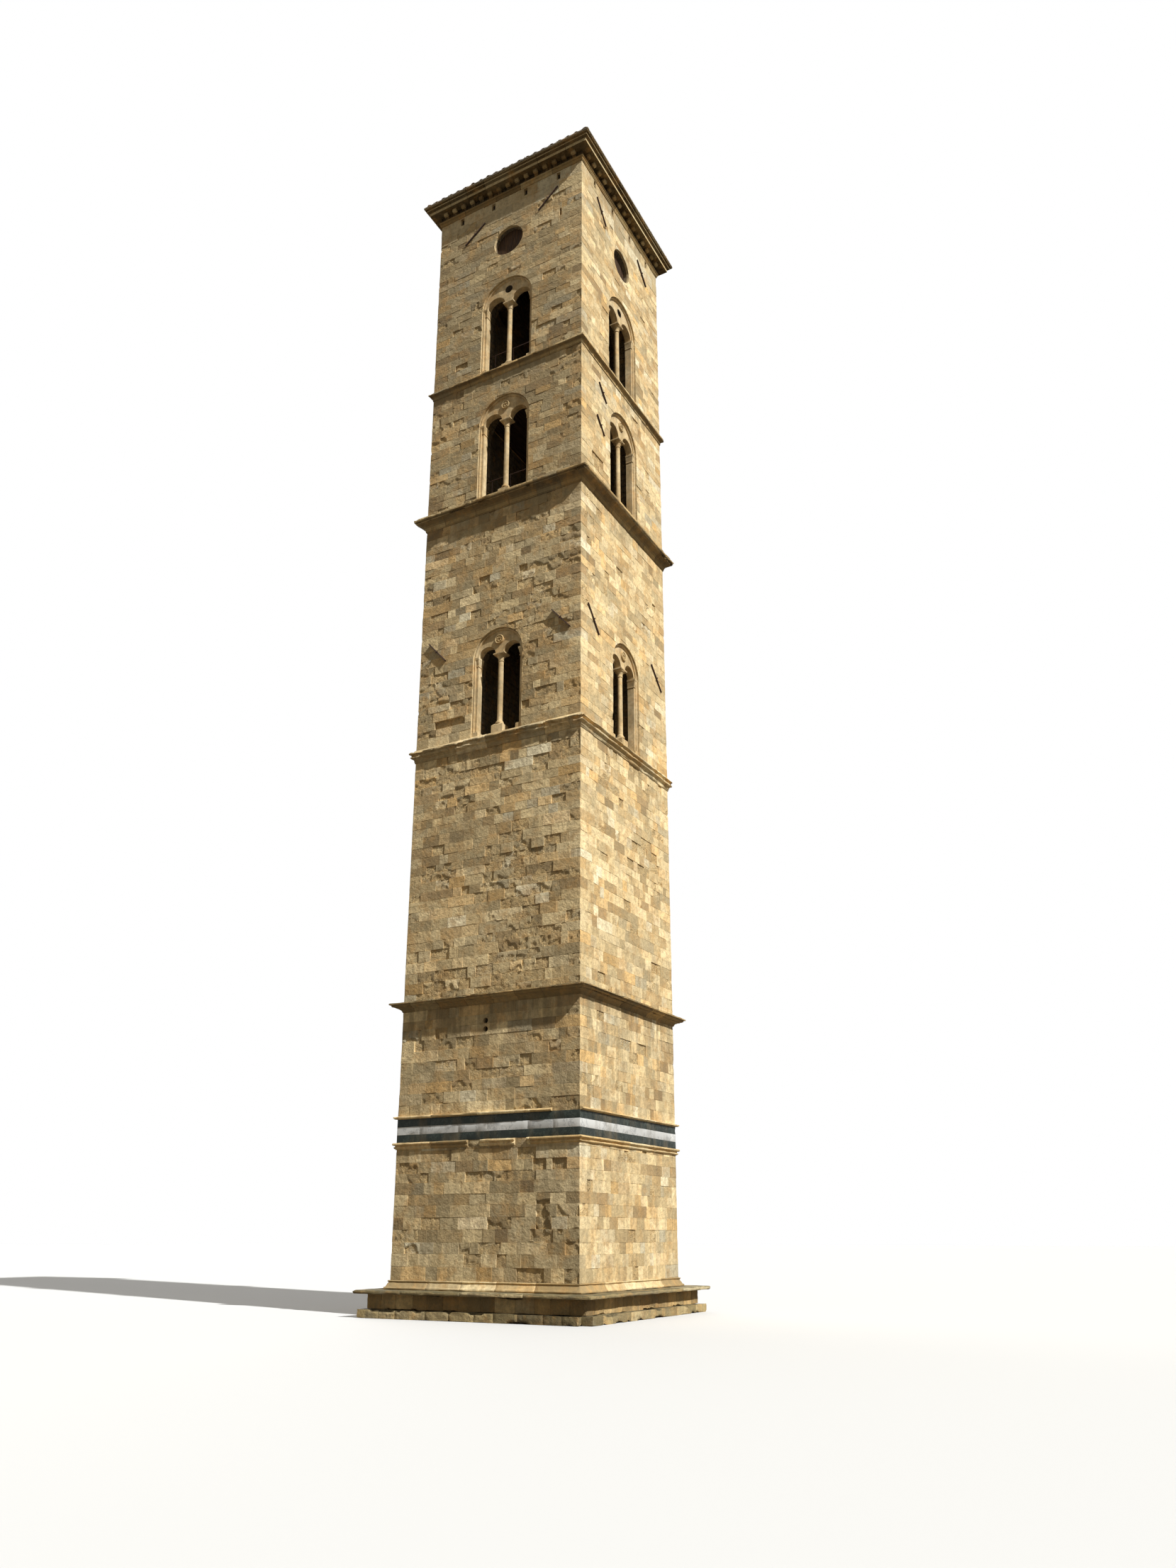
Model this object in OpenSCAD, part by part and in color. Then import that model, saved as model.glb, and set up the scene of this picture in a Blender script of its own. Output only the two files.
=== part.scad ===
// Square stone bell tower of five storeys with paired windows, an oculus storey and a hipped roof.
// Origin at the middle of the base, +Z up, front face towards -Y. Millimetres.

/* [Shaft] */
// Width of the shaft over its plain faces
tower_w = 5700; // [5000:50:6600]
// Thickness of the walls
wall_t = 950; // [800:10:1150]
// Height of the wall of storey 1
storey_1_h = 7760; // [7400:10:8100]
// Height of the wall of storey 2
storey_2_h = 7290; // [6900:10:7700]
// Height of the wall of storey 3
storey_3_h = 7600; // [7200:10:8000]
// Height of the wall of storey 4
storey_4_h = 4620; // [4400:10:5000]
// Height of the wall of storey 5
storey_5_h = 7150; // [6800:10:7500]

/* [Base] */
// Height of the lowest step
footing_h = 220; // [150:10:300]
// Reach of the lowest step beyond the wall
footing_e = 580; // [450:10:650]
// Height of the top of the stone bench
bench_h = 685; // [600:5:760]
// Thickness of the bench seat
seat_t = 100; // [70:5:140]
// Reach of the bench seat beyond the wall
seat_e = 680; // [550:10:800]
// Reach of the wall under the bench seat
riser_e = 400; // [300:10:500]
// Height of the moulded plinth above the bench
plinth_h = 230; // [180:5:280]
// Reach of the moulded plinth
plinth_e = 125; // [80:5:180]

/* [Marble band] */
// Underside of the lower dark marble course
band_z = 4410; // [4000:10:4700]
// Height of each dark marble course
dark_h = 205; // [150:5:260]
// Height of the white marble course
white_h = 215; // [160:5:280]
// Depth that the marble is let into the wall
band_depth = 150; // [100:5:250]
// Reach of the mouldings above and below the marble
band_e = 95; // [60:5:140]
// Height of the moulding below the marble
sill_h = 180; // [140:5:220]
// Height of the ledge above the marble
ledge_h = 85; // [60:5:120]

/* [String courses] */
// Height of the first cornice
cornice_1_h = 270; // [220:5:330]
// Reach of the first cornice
cornice_1_e = 300; // [220:5:360]
// Height of the string course under storey 3
string_2_h = 440; // [360:5:520]
// Reach of the string course under storey 3
string_2_e = 165; // [120:5:220]
// Height of the large cornice under storey 4
cornice_3_h = 500; // [420:5:600]
// Reach of the large cornice under storey 4
cornice_3_e = 310; // [240:5:380]
// Height of the string course under storey 5
string_4_h = 320; // [260:5:380]
// Reach of the string course under storey 5
string_4_e = 130; // [90:5:180]

/* [Paired windows] */
// Half width of the window recess on storey 3
recess_3 = 870; // [780:5:960]
// Half width of the window recess on storey 4
recess_4 = 950; // [860:5:1040]
// Half width of the window recess on storey 5
recess_5 = 980; // [890:5:1070]
// Height of the arch springing above the sill on storey 3
spring_3 = 2550; // [2300:10:2900]
// Height of the arch springing above the sill on storey 4
spring_4 = 2840; // [2300:10:2950]
// Height of the arch springing above the sill on storey 5
spring_5 = 2600; // [2300:10:2900]
// Width of the jambs beside the two lights
jamb_w = 130; // [90:5:170]
// Width of the stone between the two small arches
pier_w = 270; // [220:5:340]
// Depth of the recess in front of the arch plate
plate_y = 110; // [60:5:160]
// Thickness of the arch plate and its jambs
plate_t = 220; // [180:5:300]
// Height that the small arches spring above the large one
light_rise = 80; // [40:5:120]
// Reach of the capitals on the jambs
impost_e = 45; // [25:5:60]
// Height of the base blocks of the jambs
jamb_base_h = 170; // [120:5:220]
// Reach of the base blocks of the jambs
jamb_base_e = 90; // [50:5:110]
// Diameter of the roll moulding round each recess
roll_d = 54; // [40:1:64]
// Diameter of the window columns
column_d = 165; // [130:5:200]
// Width of the capitals and bases of the columns
capital_w = 390; // [320:5:460]
// Height of the capitals
capital_h = 250; // [200:5:300]
// Width that the inner niche gains on each side
niche_gain = 170; // [100:10:240]
// Thickness of the walling that closes the windows of the left side
infill_t = 300; // [150:10:300]
// Diameter of the pierced round hole on storey 5
eye_d = 280; // [200:10:340]

/* [Oculus and small holes] */
// Diameter of the round opening
oculus_d = 1140; // [900:10:1240]
// Depth of the boards behind the face of the wall
boards_y = 200; // [120:5:300]
// Thickness of the boards
boards_t = 45; // [30:5:70]
// Distance between the square putlog holes under the crown
putlog_pitch = 1300; // [1100:10:1400]
// Diameter of the two drain holes in the front of storey 1
drain_d = 150; // [100:5:200]

/* [Crown] */
// Reach of the eaves beyond the wall
eaves_e = 475; // [400:5:560]
// Height of the architrave
architrave_h = 180; // [140:5:220]
// Height of the brackets
bracket_h = 230; // [190:5:260]
// Width of a bracket
bracket_w = 150; // [100:5:190]
// Number of brackets on each face
bracket_n = 15; // [11:2:17]
// Height of the moulded crown
crown_h = 230; // [190:5:280]
// Rise of the roof above the eaves
roof_rise = 1020; // [800:10:1200]
// Thickness of the roof deck
roof_t = 160; // [100:10:220]
// Thickness of the deck at the eaves
deck_edge = 60; // [40:5:90]

/* [Floors, rails and anchors] */
// Thickness of the floor boards
board_t = 50; // [30:5:80]
// Depth of the floor joists
joist_h = 200; // [140:10:240]
// Number of joists in each floor
joist_n = 6; // [4:1:8]
// Height of the upper rail above the sill
rail_h = 1050; // [900:10:1200]
// Diameter of the rails
rail_d = 34; // [25:1:50]
// Length of the large wall anchors
anchor_l = 1000; // [800:10:1150]
// Thickness of the anchor blades, which stand on edge against the wall
anchor_t = 30; // [20:2:50]
// Reach of the deep anchor blades from the wall
anchor_d = 75; // [50:5:110]

/* [Hidden] */
$fn = 48;
eps = 1;
half = tower_w / 2;
inner = half - wall_t;
far = tower_w;

// Storeys from the ground up, and the through courses on top of the first four
storey_h = [storey_1_h, storey_2_h, storey_3_h, storey_4_h, storey_5_h];
course_h = [cornice_1_h, string_2_h, cornice_3_h, string_4_h];
function below(list, n) = n == 0 ? 0 : list[n - 1] + below(list, n - 1);
storey_z0 = [for (i = [0:4]) footing_h + below(storey_h, i) + below(course_h, i)];
storey_z1 = [for (i = [0:4]) storey_z0[i] + storey_h[i]];
wall_top = storey_z1[4];

// Windows, counted from 0 on storey 3 to 2 on storey 5
recess = [recess_3, recess_4, recess_5];
spring = [for (i = [0:2]) storey_z0[i + 2] + [spring_3, spring_4, spring_5][i]];
light_r = [for (a = recess) (a - jamb_w - pier_w / 2) / 2];
light_x = [for (i = [0:2]) pier_w / 2 + light_r[i]];
light_z = [for (z = spring) z + light_rise];
base_h = [330, 370, 200];
base_d = plate_t + 90;
abacus_t = 60;
impost_y = 45;
column_y = plate_y + plate_t / 2;
rail_y = plate_y + plate_t + 150;

band_top = band_z + 2 * dark_h + white_h;
band_proud = 8;
sill_breaks = [[-500, -120], [950, 1330]];
ledge_break = 2050;
putlog_w = 140;
putlog_h = 300;
putlog_depth = 260;
putlog_z = wall_top - putlog_h - 40;
drain_x = -60;
drain_drop = [680, 450];
architrave_e = 70;
frieze_e = 20;
frieze_h = 20;
soffit_z = wall_top + architrave_h + bracket_h;
bracket_e = 180;
bracket_pitch = (tower_w - 2 * 260) / (bracket_n - 1);
crown_e = 283;
eaves_z = soffit_z + crown_h;

// The round openings sit midway between the arches of storey 5 and the putlog holes
oculus_z = (spring[2] + recess[2] + putlog_z) / 2;

// Anchors on each face as [across, height, turn, share of the full length, share of the full reach]
front_anchors = [[-1370, wall_top - 1050, 37, 1, 0.6], [1560, wall_top - 980, 42, 1, 0.6],
    [660 - half, storey_z0[2] + 3130, -48, 0.95, 1], [half - 650, storey_z0[2] + 3130, -49, 0.92, 1]];
right_anchors = [[-1500, wall_top - 950, -48, 0.95, 0.6], [1560, wall_top - 930, -43, 0.95, 0.6],
    [730 - half, storey_z0[2] + 3290, -48, 1, 0.6], [half - 720, storey_z0[2] + 3240, -44, 1, 0.6],
    [-1470, storey_z0[3] + 3700, -45, 0.7, 0.6], [-1620, storey_z0[3] + 2350, -45, 0.7, 0.6]];
side_anchors = [front_anchors, right_anchors, right_anchors, front_anchors];

STONE = [0.80, 0.69, 0.49];
PALE_STONE = [0.86, 0.79, 0.62];
WEATHERED = [0.52, 0.46, 0.34];
DARK_MARBLE = [0.16, 0.19, 0.17];
WHITE_MARBLE = [0.87, 0.88, 0.88];
TIMBER = [0.33, 0.25, 0.19];
TILE = [0.58, 0.42, 0.32];
IRON = [0.16, 0.14, 0.13];

// Points of a hollow and of a rounded quarter between two corners of a moulding
function hollow(a, b) = [for (t = [0:15:90])
    [a.x + (b.x - a.x) * (1 - cos(t)), a.y + (b.y - a.y) * sin(t)]];
function round_out(a, b) = [for (t = [0:15:90])
    [a.x + (b.x - a.x) * sin(t), a.y + (b.y - a.y) * (1 - cos(t))]];

// Points given as shares of a reach e and a height h
function steps(e, h, list) = [for (p = list) [p.x * e, p.y * h]];

// Turns what is drawn for the front face, with its outside towards -Y, to side 0 to 3
module on_side(side) rotate([0, 0, 90 * side]) children();

// Square slab, or square ring where hole is given, between two heights
module square_ring(z0, z1, outer, hole = 0) {
    translate([0, 0, z0]) linear_extrude(z1 - z0) difference() {
        square(2 * outer, center = true);
        if (hole > 0) square(2 * hole, center = true);
    }
}

// Solid of square plan whose half width follows an outline of [reach, height] points, from below
module moulded_block(z, outline) {
    last = len(outline) - 1;
    intersection_for (turn = [0, 90]) rotate([0, 0, turn])
        translate([0, far, z]) rotate([90, 0, 0]) linear_extrude(2 * far) polygon(concat(
            [for (p = outline) [half + p.x, p.y]],
            [for (i = [last:-1:0]) [-half - outline[i].x, outline[i].y]]));
}

// The same block with a square hole, as a moulding that runs round the shaft
module moulded_ring(z, outline, hole) {
    difference() {
        moulded_block(z, outline);
        square_ring(z - eps, z + outline[len(outline) - 1].y + eps, hole);
    }
}

// Extrudes an outline drawn in [across, height] from depth y0 to y1 behind the face of the front wall
module into_wall(y0, y1) translate([0, y1 - half, 0]) rotate([90, 0, 0]) linear_extrude(y1 - y0) children();

// Base
module footing_step() color(STONE) difference() {
    square_ring(0, footing_h, half + footing_e);
    translate([half + riser_e - 120, -half - footing_e - eps, -eps])
        cube([footing_e, footing_e - riser_e + eps, footing_h + 2 * eps]);
}

module bench_riser() color(STONE) square_ring(footing_h, bench_h - seat_t, half + riser_e, half);

module bench_seat() color(PALE_STONE) moulded_ring(bench_h - seat_t, [
    [seat_e - 0.25 * seat_t, 0], [seat_e - 0.05 * seat_t, 0.15 * seat_t],
    [seat_e, 0.4 * seat_t], [seat_e, 0.65 * seat_t],
    [seat_e - 0.08 * seat_t, 0.85 * seat_t], [seat_e - 0.3 * seat_t, seat_t]], half);

module plinth_moulding() color(STONE) moulded_ring(bench_h, concat(
    round_out([0.9 * plinth_e, 0], [plinth_e, 0.14 * plinth_h]),
    steps(plinth_e, plinth_h, [[0.92, 0.28], [0.7, 0.31], [0.6, 0.4], [0.35, 0.65], [0.22, 0.78],
    [0.36, 0.82], [0.4, 0.92], [0.3, 1]])), half);

// Walls
module recess_outline(a, z0, z1) {
    translate([-a, z0]) square([2 * a, z1 - z0]);
    translate([0, z1]) circle(a);
}

module window_cuts(i, closed_t) {
    sill = storey_z0[i + 2];
    into_wall(-eps, plate_y + plate_t + eps) recess_outline(recess[i], sill - eps, spring[i]);
    into_wall(plate_y + plate_t, closed_t > 0 ? wall_t - closed_t : wall_t + eps)
        recess_outline(recess[i] + niche_gain, sill - eps, spring[i] + light_rise);
}

module oculus_cut() into_wall(-eps, wall_t + eps) translate([0, oculus_z]) circle(d = oculus_d);

module putlog_cuts() for (i = [-1.5:1.5])
    translate([i * putlog_pitch - putlog_w / 2, -half - eps, putlog_z])
        cube([putlog_w, putlog_depth + eps, putlog_h]);

module band_cut() translate([-half - eps, -half - eps, band_z])
    cube([tower_w + 2 * eps, band_depth + eps, band_top - band_z]);

module drain_cuts() into_wall(-eps, 300)
    for (drop = drain_drop) translate([drain_x, storey_z1[0] - drop]) circle(d = drain_d);

// The front and back walls run to the corners, and the side walls stand between them
module wall(side, storey) color(side == 1 ? PALE_STONE : STONE) {
    reach = side % 2 == 0 ? half : inner;
    z0 = storey_z0[storey];
    z1 = storey_z1[storey];
    on_side(side) difference() {
        translate([-reach, -half, z0]) cube([2 * reach, wall_t, z1 - z0]);
        if (storey == 0) band_cut();
        if (storey == 0 && side % 2 == 0) for (end = [-1, 1])
            translate([end > 0 ? half - band_depth : -half - eps, -half - eps, band_z])
                cube([band_depth + eps, wall_t + 2 * eps, band_top - band_z]);
        if (storey == 0 && side == 0) drain_cuts();
        if (storey > 1) window_cuts(storey - 2, side == 3 ? infill_t : 0);
        if (storey == 4) oculus_cut();
        if (storey == 4) putlog_cuts();
    }
}

// Marble band of the first storey
module band_course(z, h) square_ring(z, z + h, half + band_proud, half - band_depth);

module dark_marble_courses() color(DARK_MARBLE) {
    band_course(band_z, dark_h);
    band_course(band_z + dark_h + white_h, dark_h);
}

module white_marble_course() color(WHITE_MARBLE) band_course(band_z + dark_h, white_h);

// Mouldings above and below the band, whose front lengths have broken away in places
module sill_moulding() moulded_ring(band_z - sill_h, concat(
    [[0.2 * band_e, 0]], round_out([0.25 * band_e, 0.1 * sill_h], [0.6 * band_e, 0.3 * sill_h]),
    steps(band_e, sill_h, [[0.6, 0.42], [0.35, 0.46], [0.35, 0.56], [0.8, 0.62], [1, 0.74],
    [1, 0.9], [0.8, 1]])), half);

module ledge() moulded_ring(band_top, [
    [0.55 * band_e, 0], [band_e, 0.35 * ledge_h], [band_e, 0.8 * ledge_h], [0, ledge_h]], half);

module band_mouldings() color(PALE_STONE) {
    difference() {
        sill_moulding();
        for (b = sill_breaks) translate([b[0], -2 * half, 0]) cube([b[1] - b[0], half, band_top]);
    }
    difference() {
        ledge();
        translate([ledge_break, -2 * half, 0]) cube([far, half, band_top + far]);
    }
}

// Cornices and string courses, each a through course of the wall
module cornice_1() color(STONE) moulded_ring(storey_z1[0], concat(
    steps(cornice_1_e, cornice_1_h, [[0.08, 0], [0.08, 0.1]]),
    hollow([0.12 * cornice_1_e, 0.1 * cornice_1_h], [0.56 * cornice_1_e, 0.42 * cornice_1_h]),
    steps(cornice_1_e, cornice_1_h, [[0.56, 0.5]]),
    round_out([0.62 * cornice_1_e, 0.5 * cornice_1_h], [0.84 * cornice_1_e, 0.66 * cornice_1_h]),
    steps(cornice_1_e, cornice_1_h, [[0.84, 0.7], [1, 0.72], [1, 0.88], [0.92, 0.93], [0, 1]])), inner);

module string_course_2() color(WEATHERED) moulded_ring(storey_z1[1], concat(
    steps(string_2_e, string_2_h, [[0.15, 0], [0.15, 0.1]]),
    hollow([0.2 * string_2_e, 0.12 * string_2_h], [0.5 * string_2_e, 0.3 * string_2_h]),
    round_out([0.55 * string_2_e, 0.33 * string_2_h], [0.75 * string_2_e, 0.42 * string_2_h]),
    steps(string_2_e, string_2_h, [[0.75, 0.48], [0.6, 0.5], [0.6, 0.56], [0.96, 0.6], [1, 0.7],
    [0.9, 0.76], [0, 1]])), inner);

module cornice_3() color(WEATHERED) moulded_ring(storey_z1[2], concat(
    steps(cornice_3_e, cornice_3_h, [[0.06, 0], [0.06, 0.06]]),
    hollow([0.1 * cornice_3_e, 0.06 * cornice_3_h], [0.82 * cornice_3_e, 0.52 * cornice_3_h]),
    steps(cornice_3_e, cornice_3_h, [[0.82, 0.58], [1, 0.6], [1, 0.8], [0.96, 0.84], [0, 1]])), inner);

module string_course_4() color(WEATHERED) moulded_ring(storey_z1[3], concat(
    steps(string_4_e, string_4_h, [[0.1, 0], [0.1, 0.1]]),
    hollow([0.15 * string_4_e, 0.1 * string_4_h], [0.75 * string_4_e, 0.48 * string_4_h]),
    steps(string_4_e, string_4_h, [[0.8, 0.5], [1, 0.55], [1, 0.74], [0.9, 0.78], [0, 1]])), inner);

// Paired windows. Mouldings of the recess, as [inwards from its edge, behind the face of the wall]
module recess_roll() {
    translate([roll_d / 2 + 5, plate_y - 28]) circle(d = roll_d);
    translate([0.3 * roll_d, plate_y - 22]) square([0.95 * roll_d, 25]);
}

// Arch plate that rests on the jambs and the column, with its moulded rim
module arch_plate(i) {
    a = recess[i];
    into_wall(plate_y, plate_y + plate_t) difference() {
        translate([0, spring[i]]) circle(a);
        translate([-a, spring[i] - a]) square([2 * a, a + light_rise]);
        for (end = [-1, 1]) translate([end * light_x[i], light_z[i]]) circle(light_r[i]);
        if (i == 2) translate([0, light_z[i] + 1.45 * light_r[i]]) circle(d = eye_d);
    }
    difference() {
        translate([0, -half, spring[i]]) rotate([90, 0, 0]) rotate_extrude(angle = 180)
            translate([a, 0]) mirror([1, 0]) mirror([0, 1]) recess_roll();
        translate([-a - eps, -half - eps, spring[i] - a]) cube([2 * a + 2 * eps, wall_t, a + light_rise]);
    }
}

module arch_plates(side) color(PALE_STONE) on_side(side) for (i = [0:2]) arch_plate(i);

// Block on the inner side and the front of a jamb, flared from one reach to another
module jamb_block(i, z, h, low, high) {
    a = recess[i];
    edge = a - jamb_w;
    intersection() {
        into_wall(impost_y, plate_y + plate_t) intersection() {
            recess_outline(a, storey_z0[i + 2], spring[i]);
            polygon([[a, z], [edge - low, z], [edge - high, z + h], [a, z + h]]);
        }
        translate([0, -half, 0]) rotate([90, 0, 90]) linear_extrude(a) polygon([
            [plate_y + plate_t, z], [plate_y + (impost_y - plate_y) * low / impost_e, z],
            [plate_y + (impost_y - plate_y) * high / impost_e, z + h], [plate_y + plate_t, z + h]]);
    }
}

// Right-hand jamb: pilaster with its roll, base block, bell and abacus
module jamb(i) {
    a = recess[i];
    sill = storey_z0[i + 2];
    bell_h = capital_h - abacus_t;
    into_wall(plate_y, plate_y + plate_t) intersection() {
        recess_outline(a, sill, spring[i]);
        translate([a - jamb_w, sill]) square([jamb_w, light_z[i] - sill]);
    }
    translate([a, -half, sill]) linear_extrude(light_z[i] - sill - abacus_t) mirror([1, 0]) recess_roll();
    jamb_block(i, sill, jamb_base_h, jamb_base_e, jamb_base_e - 15);
    jamb_block(i, sill + jamb_base_h - eps, 40, impost_e, 0);
    jamb_block(i, light_z[i] - capital_h - 30, 30, 16, 16);
    jamb_block(i, light_z[i] - capital_h, bell_h, 4, impost_e - 10);
    jamb_block(i, light_z[i] - abacus_t, abacus_t, impost_e - 6, impost_e);
}

module window_jambs() color(PALE_STONE) for (side = [0:3])
    on_side(side) for (i = [0:2]) for (turn = [0, 1]) mirror([turn, 0, 0]) jamb(i);

// Half outline of a column from the top of its base block to the underside of its abacus
module shaft_outline(h) {
    r = column_d / 2;
    polygon([[0, 0], [1.55 * r, 0], [1.62 * r, 25], [1.5 * r, 50], [1.22 * r, 58],
        [1.28 * r, 75], [1.18 * r, 92], [r, 110], [0.92 * r, h - 205], [1.12 * r, h - 198],
        [1.12 * r, h - 176], [0.94 * r, h - 170], [1.05 * r, h - 110], [1.35 * r, h - 50],
        [1.8 * r, h - 12], [1.8 * r, h], [0, h]]);
}

// Block of a column, as wide as its capital, with its upper or lower edges cut back
module column_block(z, h, low, high) intersection() {
    w = capital_w / 2;
    d = base_d / 2;
    translate([0, d, z]) rotate([90, 0, 0]) linear_extrude(base_d)
        polygon([[low - w, 0], [w - low, 0], [w, low], [w, h - high], [w - high, h],
            [high - w, h], [-w, h - high], [-w, low]]);
    translate([-w, 0, z]) rotate([90, 0, 90]) linear_extrude(capital_w)
        polygon([[low - d, 0], [d - low, 0], [d, low], [d, h - high], [d - high, h],
            [high - d, h], [-d, h - high], [-d, low]]);
}

module window_column(i) {
    z0 = storey_z0[i + 2];
    z1 = light_z[i];
    translate([0, column_y - half, 0]) {
        column_block(z0, base_h[i], 0.1, 0.18 * base_h[i]);
        translate([0, 0, z0 + base_h[i]]) rotate_extrude() shaft_outline(z1 - abacus_t - z0 - base_h[i]);
        column_block(z1 - abacus_t, abacus_t, 22, 0.1);
    }
}

module window_columns() color(PALE_STONE) for (side = [0:3])
    on_side(side) for (i = [0:2]) window_column(i);

// Rails across the inner niches of storeys 4 and 5, where the windows are open
module window_railing(i) {
    reach = recess[i] + niche_gain;
    z0 = storey_z0[i + 2];
    translate([0, rail_y - half, 0]) {
        for (z = [z0 + 0.5 * rail_h, z0 + rail_h])
            translate([-reach, 0, z]) rotate([0, 90, 0]) cylinder(d = rail_d, h = 2 * reach);
        for (k = [-1:1]) translate([k * 0.62 * reach, 0, z0]) cylinder(d = 0.8 * rail_d, h = rail_h);
    }
}

module window_railings() color(IRON) for (side = [0:2])
    on_side(side) for (i = [1:2]) window_railing(i);

module oculus_boards() color(TIMBER) for (side = [0:3]) on_side(side)
    into_wall(boards_y, boards_y + boards_t) translate([0, oculus_z]) circle(d = oculus_d);

// Floors of boards on joists at the three window rows
module timber_floor(top) {
    joist_w = 120;
    pitch = (2 * inner - joist_w) / (joist_n - 1);
    translate([-inner, -inner, top - board_t]) cube([2 * inner, 2 * inner, board_t]);
    for (j = [0:joist_n - 1]) translate([-inner + j * pitch, -inner, top - board_t - joist_h])
        cube([joist_w, 2 * inner, joist_h + eps]);
}

module timber_floors() color(TIMBER) for (i = [2:4]) timber_floor(storey_z0[i]);

// Iron anchor: a blade on edge, held by the end of its tie and by the wedge driven through it
module wall_anchor(a) {
    d = anchor_d * a[4];
    translate([a[0], -half, a[1]]) {
        rotate([0, -a[2], 0]) translate([0, -d / 2, 0]) cube([anchor_l * a[3], d, anchor_t], center = true);
        rotate([90, 0, 0]) cylinder(d = 1.5 * anchor_t, h = 1.5 * d);
        rotate([0, -a[2], 0]) translate([0, -d - 0.35 * anchor_t, 0])
            cube([0.8 * anchor_t, 0.7 * anchor_t, 3.2 * anchor_t], center = true);
    }
}

module wall_anchors() color(IRON) for (side = [0:3])
    on_side(side) for (a = side_anchors[side]) wall_anchor(a);

// Crown
module architrave() color(STONE) {
    moulded_ring(wall_top, concat(
        steps(architrave_e, architrave_h,
            [[0.35, 0], [0.35, 0.2], [0.5, 0.26], [0.64, 0.32], [0.64, 0.48], [0.4, 0.5], [0.4, 0.57],
            [0.75, 0.62], [1, 0.72], [1, 1]]),
        [[frieze_e, architrave_h + frieze_h], [frieze_e, architrave_h + bracket_h]]), inner);
}

// Scrolled outline of a bracket, seen from the side, from the wall outwards
module bracket() {
    h = bracket_h - frieze_h;
    translate([bracket_w / 2, 0, -h]) rotate([90, 0, -90]) linear_extrude(bracket_w) polygon(concat(
        [[frieze_e, h], [frieze_e, 0], [frieze_e + 22, 0]],
        hollow([frieze_e + 34, 0.06 * h], [0.7 * bracket_e, 0.4 * h]),
        round_out([0.78 * bracket_e, 0.4 * h], [bracket_e, 0.72 * h]),
        [[bracket_e, h]]));
}

module brackets() color(STONE) for (side = [0:3]) on_side(side)
    for (i = [0:bracket_n - 1])
        translate([(i - (bracket_n - 1) / 2) * bracket_pitch, -half, soffit_z]) bracket();

module crown_cornice() color(STONE) moulded_ring(soffit_z, concat(
    steps(1, crown_h, [[crown_e, 0], [crown_e, 0.12], [crown_e + 20, 0.14], [crown_e + 20, 0.3]]),
    hollow([crown_e + 32, 0.31 * crown_h], [eaves_e - 62, 0.4 * crown_h]),
    steps(1, crown_h, [[eaves_e - 50, 0.41], [eaves_e - 50, 0.5], [eaves_e - 56, 0.52]]),
    round_out([eaves_e - 54, 0.56 * crown_h], [eaves_e - 28, 0.84 * crown_h]),
    steps(1, crown_h, [[eaves_e - 20, 0.88], [eaves_e - 20, 1]])), inner);

// Solid of square plan under a hipped top, from a list of its points right of the middle
module hipped_block(z, points) intersection_for (turn = [0, 90]) rotate([0, 0, turn])
    translate([0, far, z]) rotate([90, 0, 0]) linear_extrude(2 * far)
        polygon(concat(points, [for (i = [len(points) - 2:-1:0]) [-points[i].x, points[i].y]]));

module roof_deck() color(TILE) {
    run = half + eaves_e;
    over_wall = deck_edge + roof_rise * (1 - inner / run) - roof_t;
    difference() {
        hipped_block(eaves_z, [[run, 0], [run, deck_edge], [0, deck_edge + roof_rise]]);
        hipped_block(eaves_z, [[inner, -eps], [inner, over_wall], [0, deck_edge + roof_rise - roof_t]]);
    }
}

footing_step();
bench_riser();
bench_seat();
plinth_moulding();
wall(0, 0);  // front_wall_1
wall(1, 0);  // right_wall_1
wall(2, 0);  // back_wall_1
wall(3, 0);  // left_wall_1
wall(0, 1);  // front_wall_2
wall(1, 1);  // right_wall_2
wall(2, 1);  // back_wall_2
wall(3, 1);  // left_wall_2
wall(0, 2);  // front_wall_3
wall(1, 2);  // right_wall_3
wall(2, 2);  // back_wall_3
wall(3, 2);  // left_wall_3
wall(0, 3);  // front_wall_4
wall(1, 3);  // right_wall_4
wall(2, 3);  // back_wall_4
wall(3, 3);  // left_wall_4
wall(0, 4);  // front_wall_5
wall(1, 4);  // right_wall_5
wall(2, 4);  // back_wall_5
wall(3, 4);  // left_wall_5
dark_marble_courses();
white_marble_course();
band_mouldings();
cornice_1();
string_course_2();
cornice_3();
string_course_4();
arch_plates(0);  // front_arch_plates
arch_plates(1);  // right_arch_plates
arch_plates(2);  // back_arch_plates
arch_plates(3);  // left_arch_plates
window_jambs();
window_columns();
window_railings();
oculus_boards();
timber_floors();
wall_anchors();
architrave();
brackets();
crown_cornice();
roof_deck();
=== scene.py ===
"""Looks of the square stone bell tower: its facing stones, worn courses, carving, tiles and finishes."""

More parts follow.
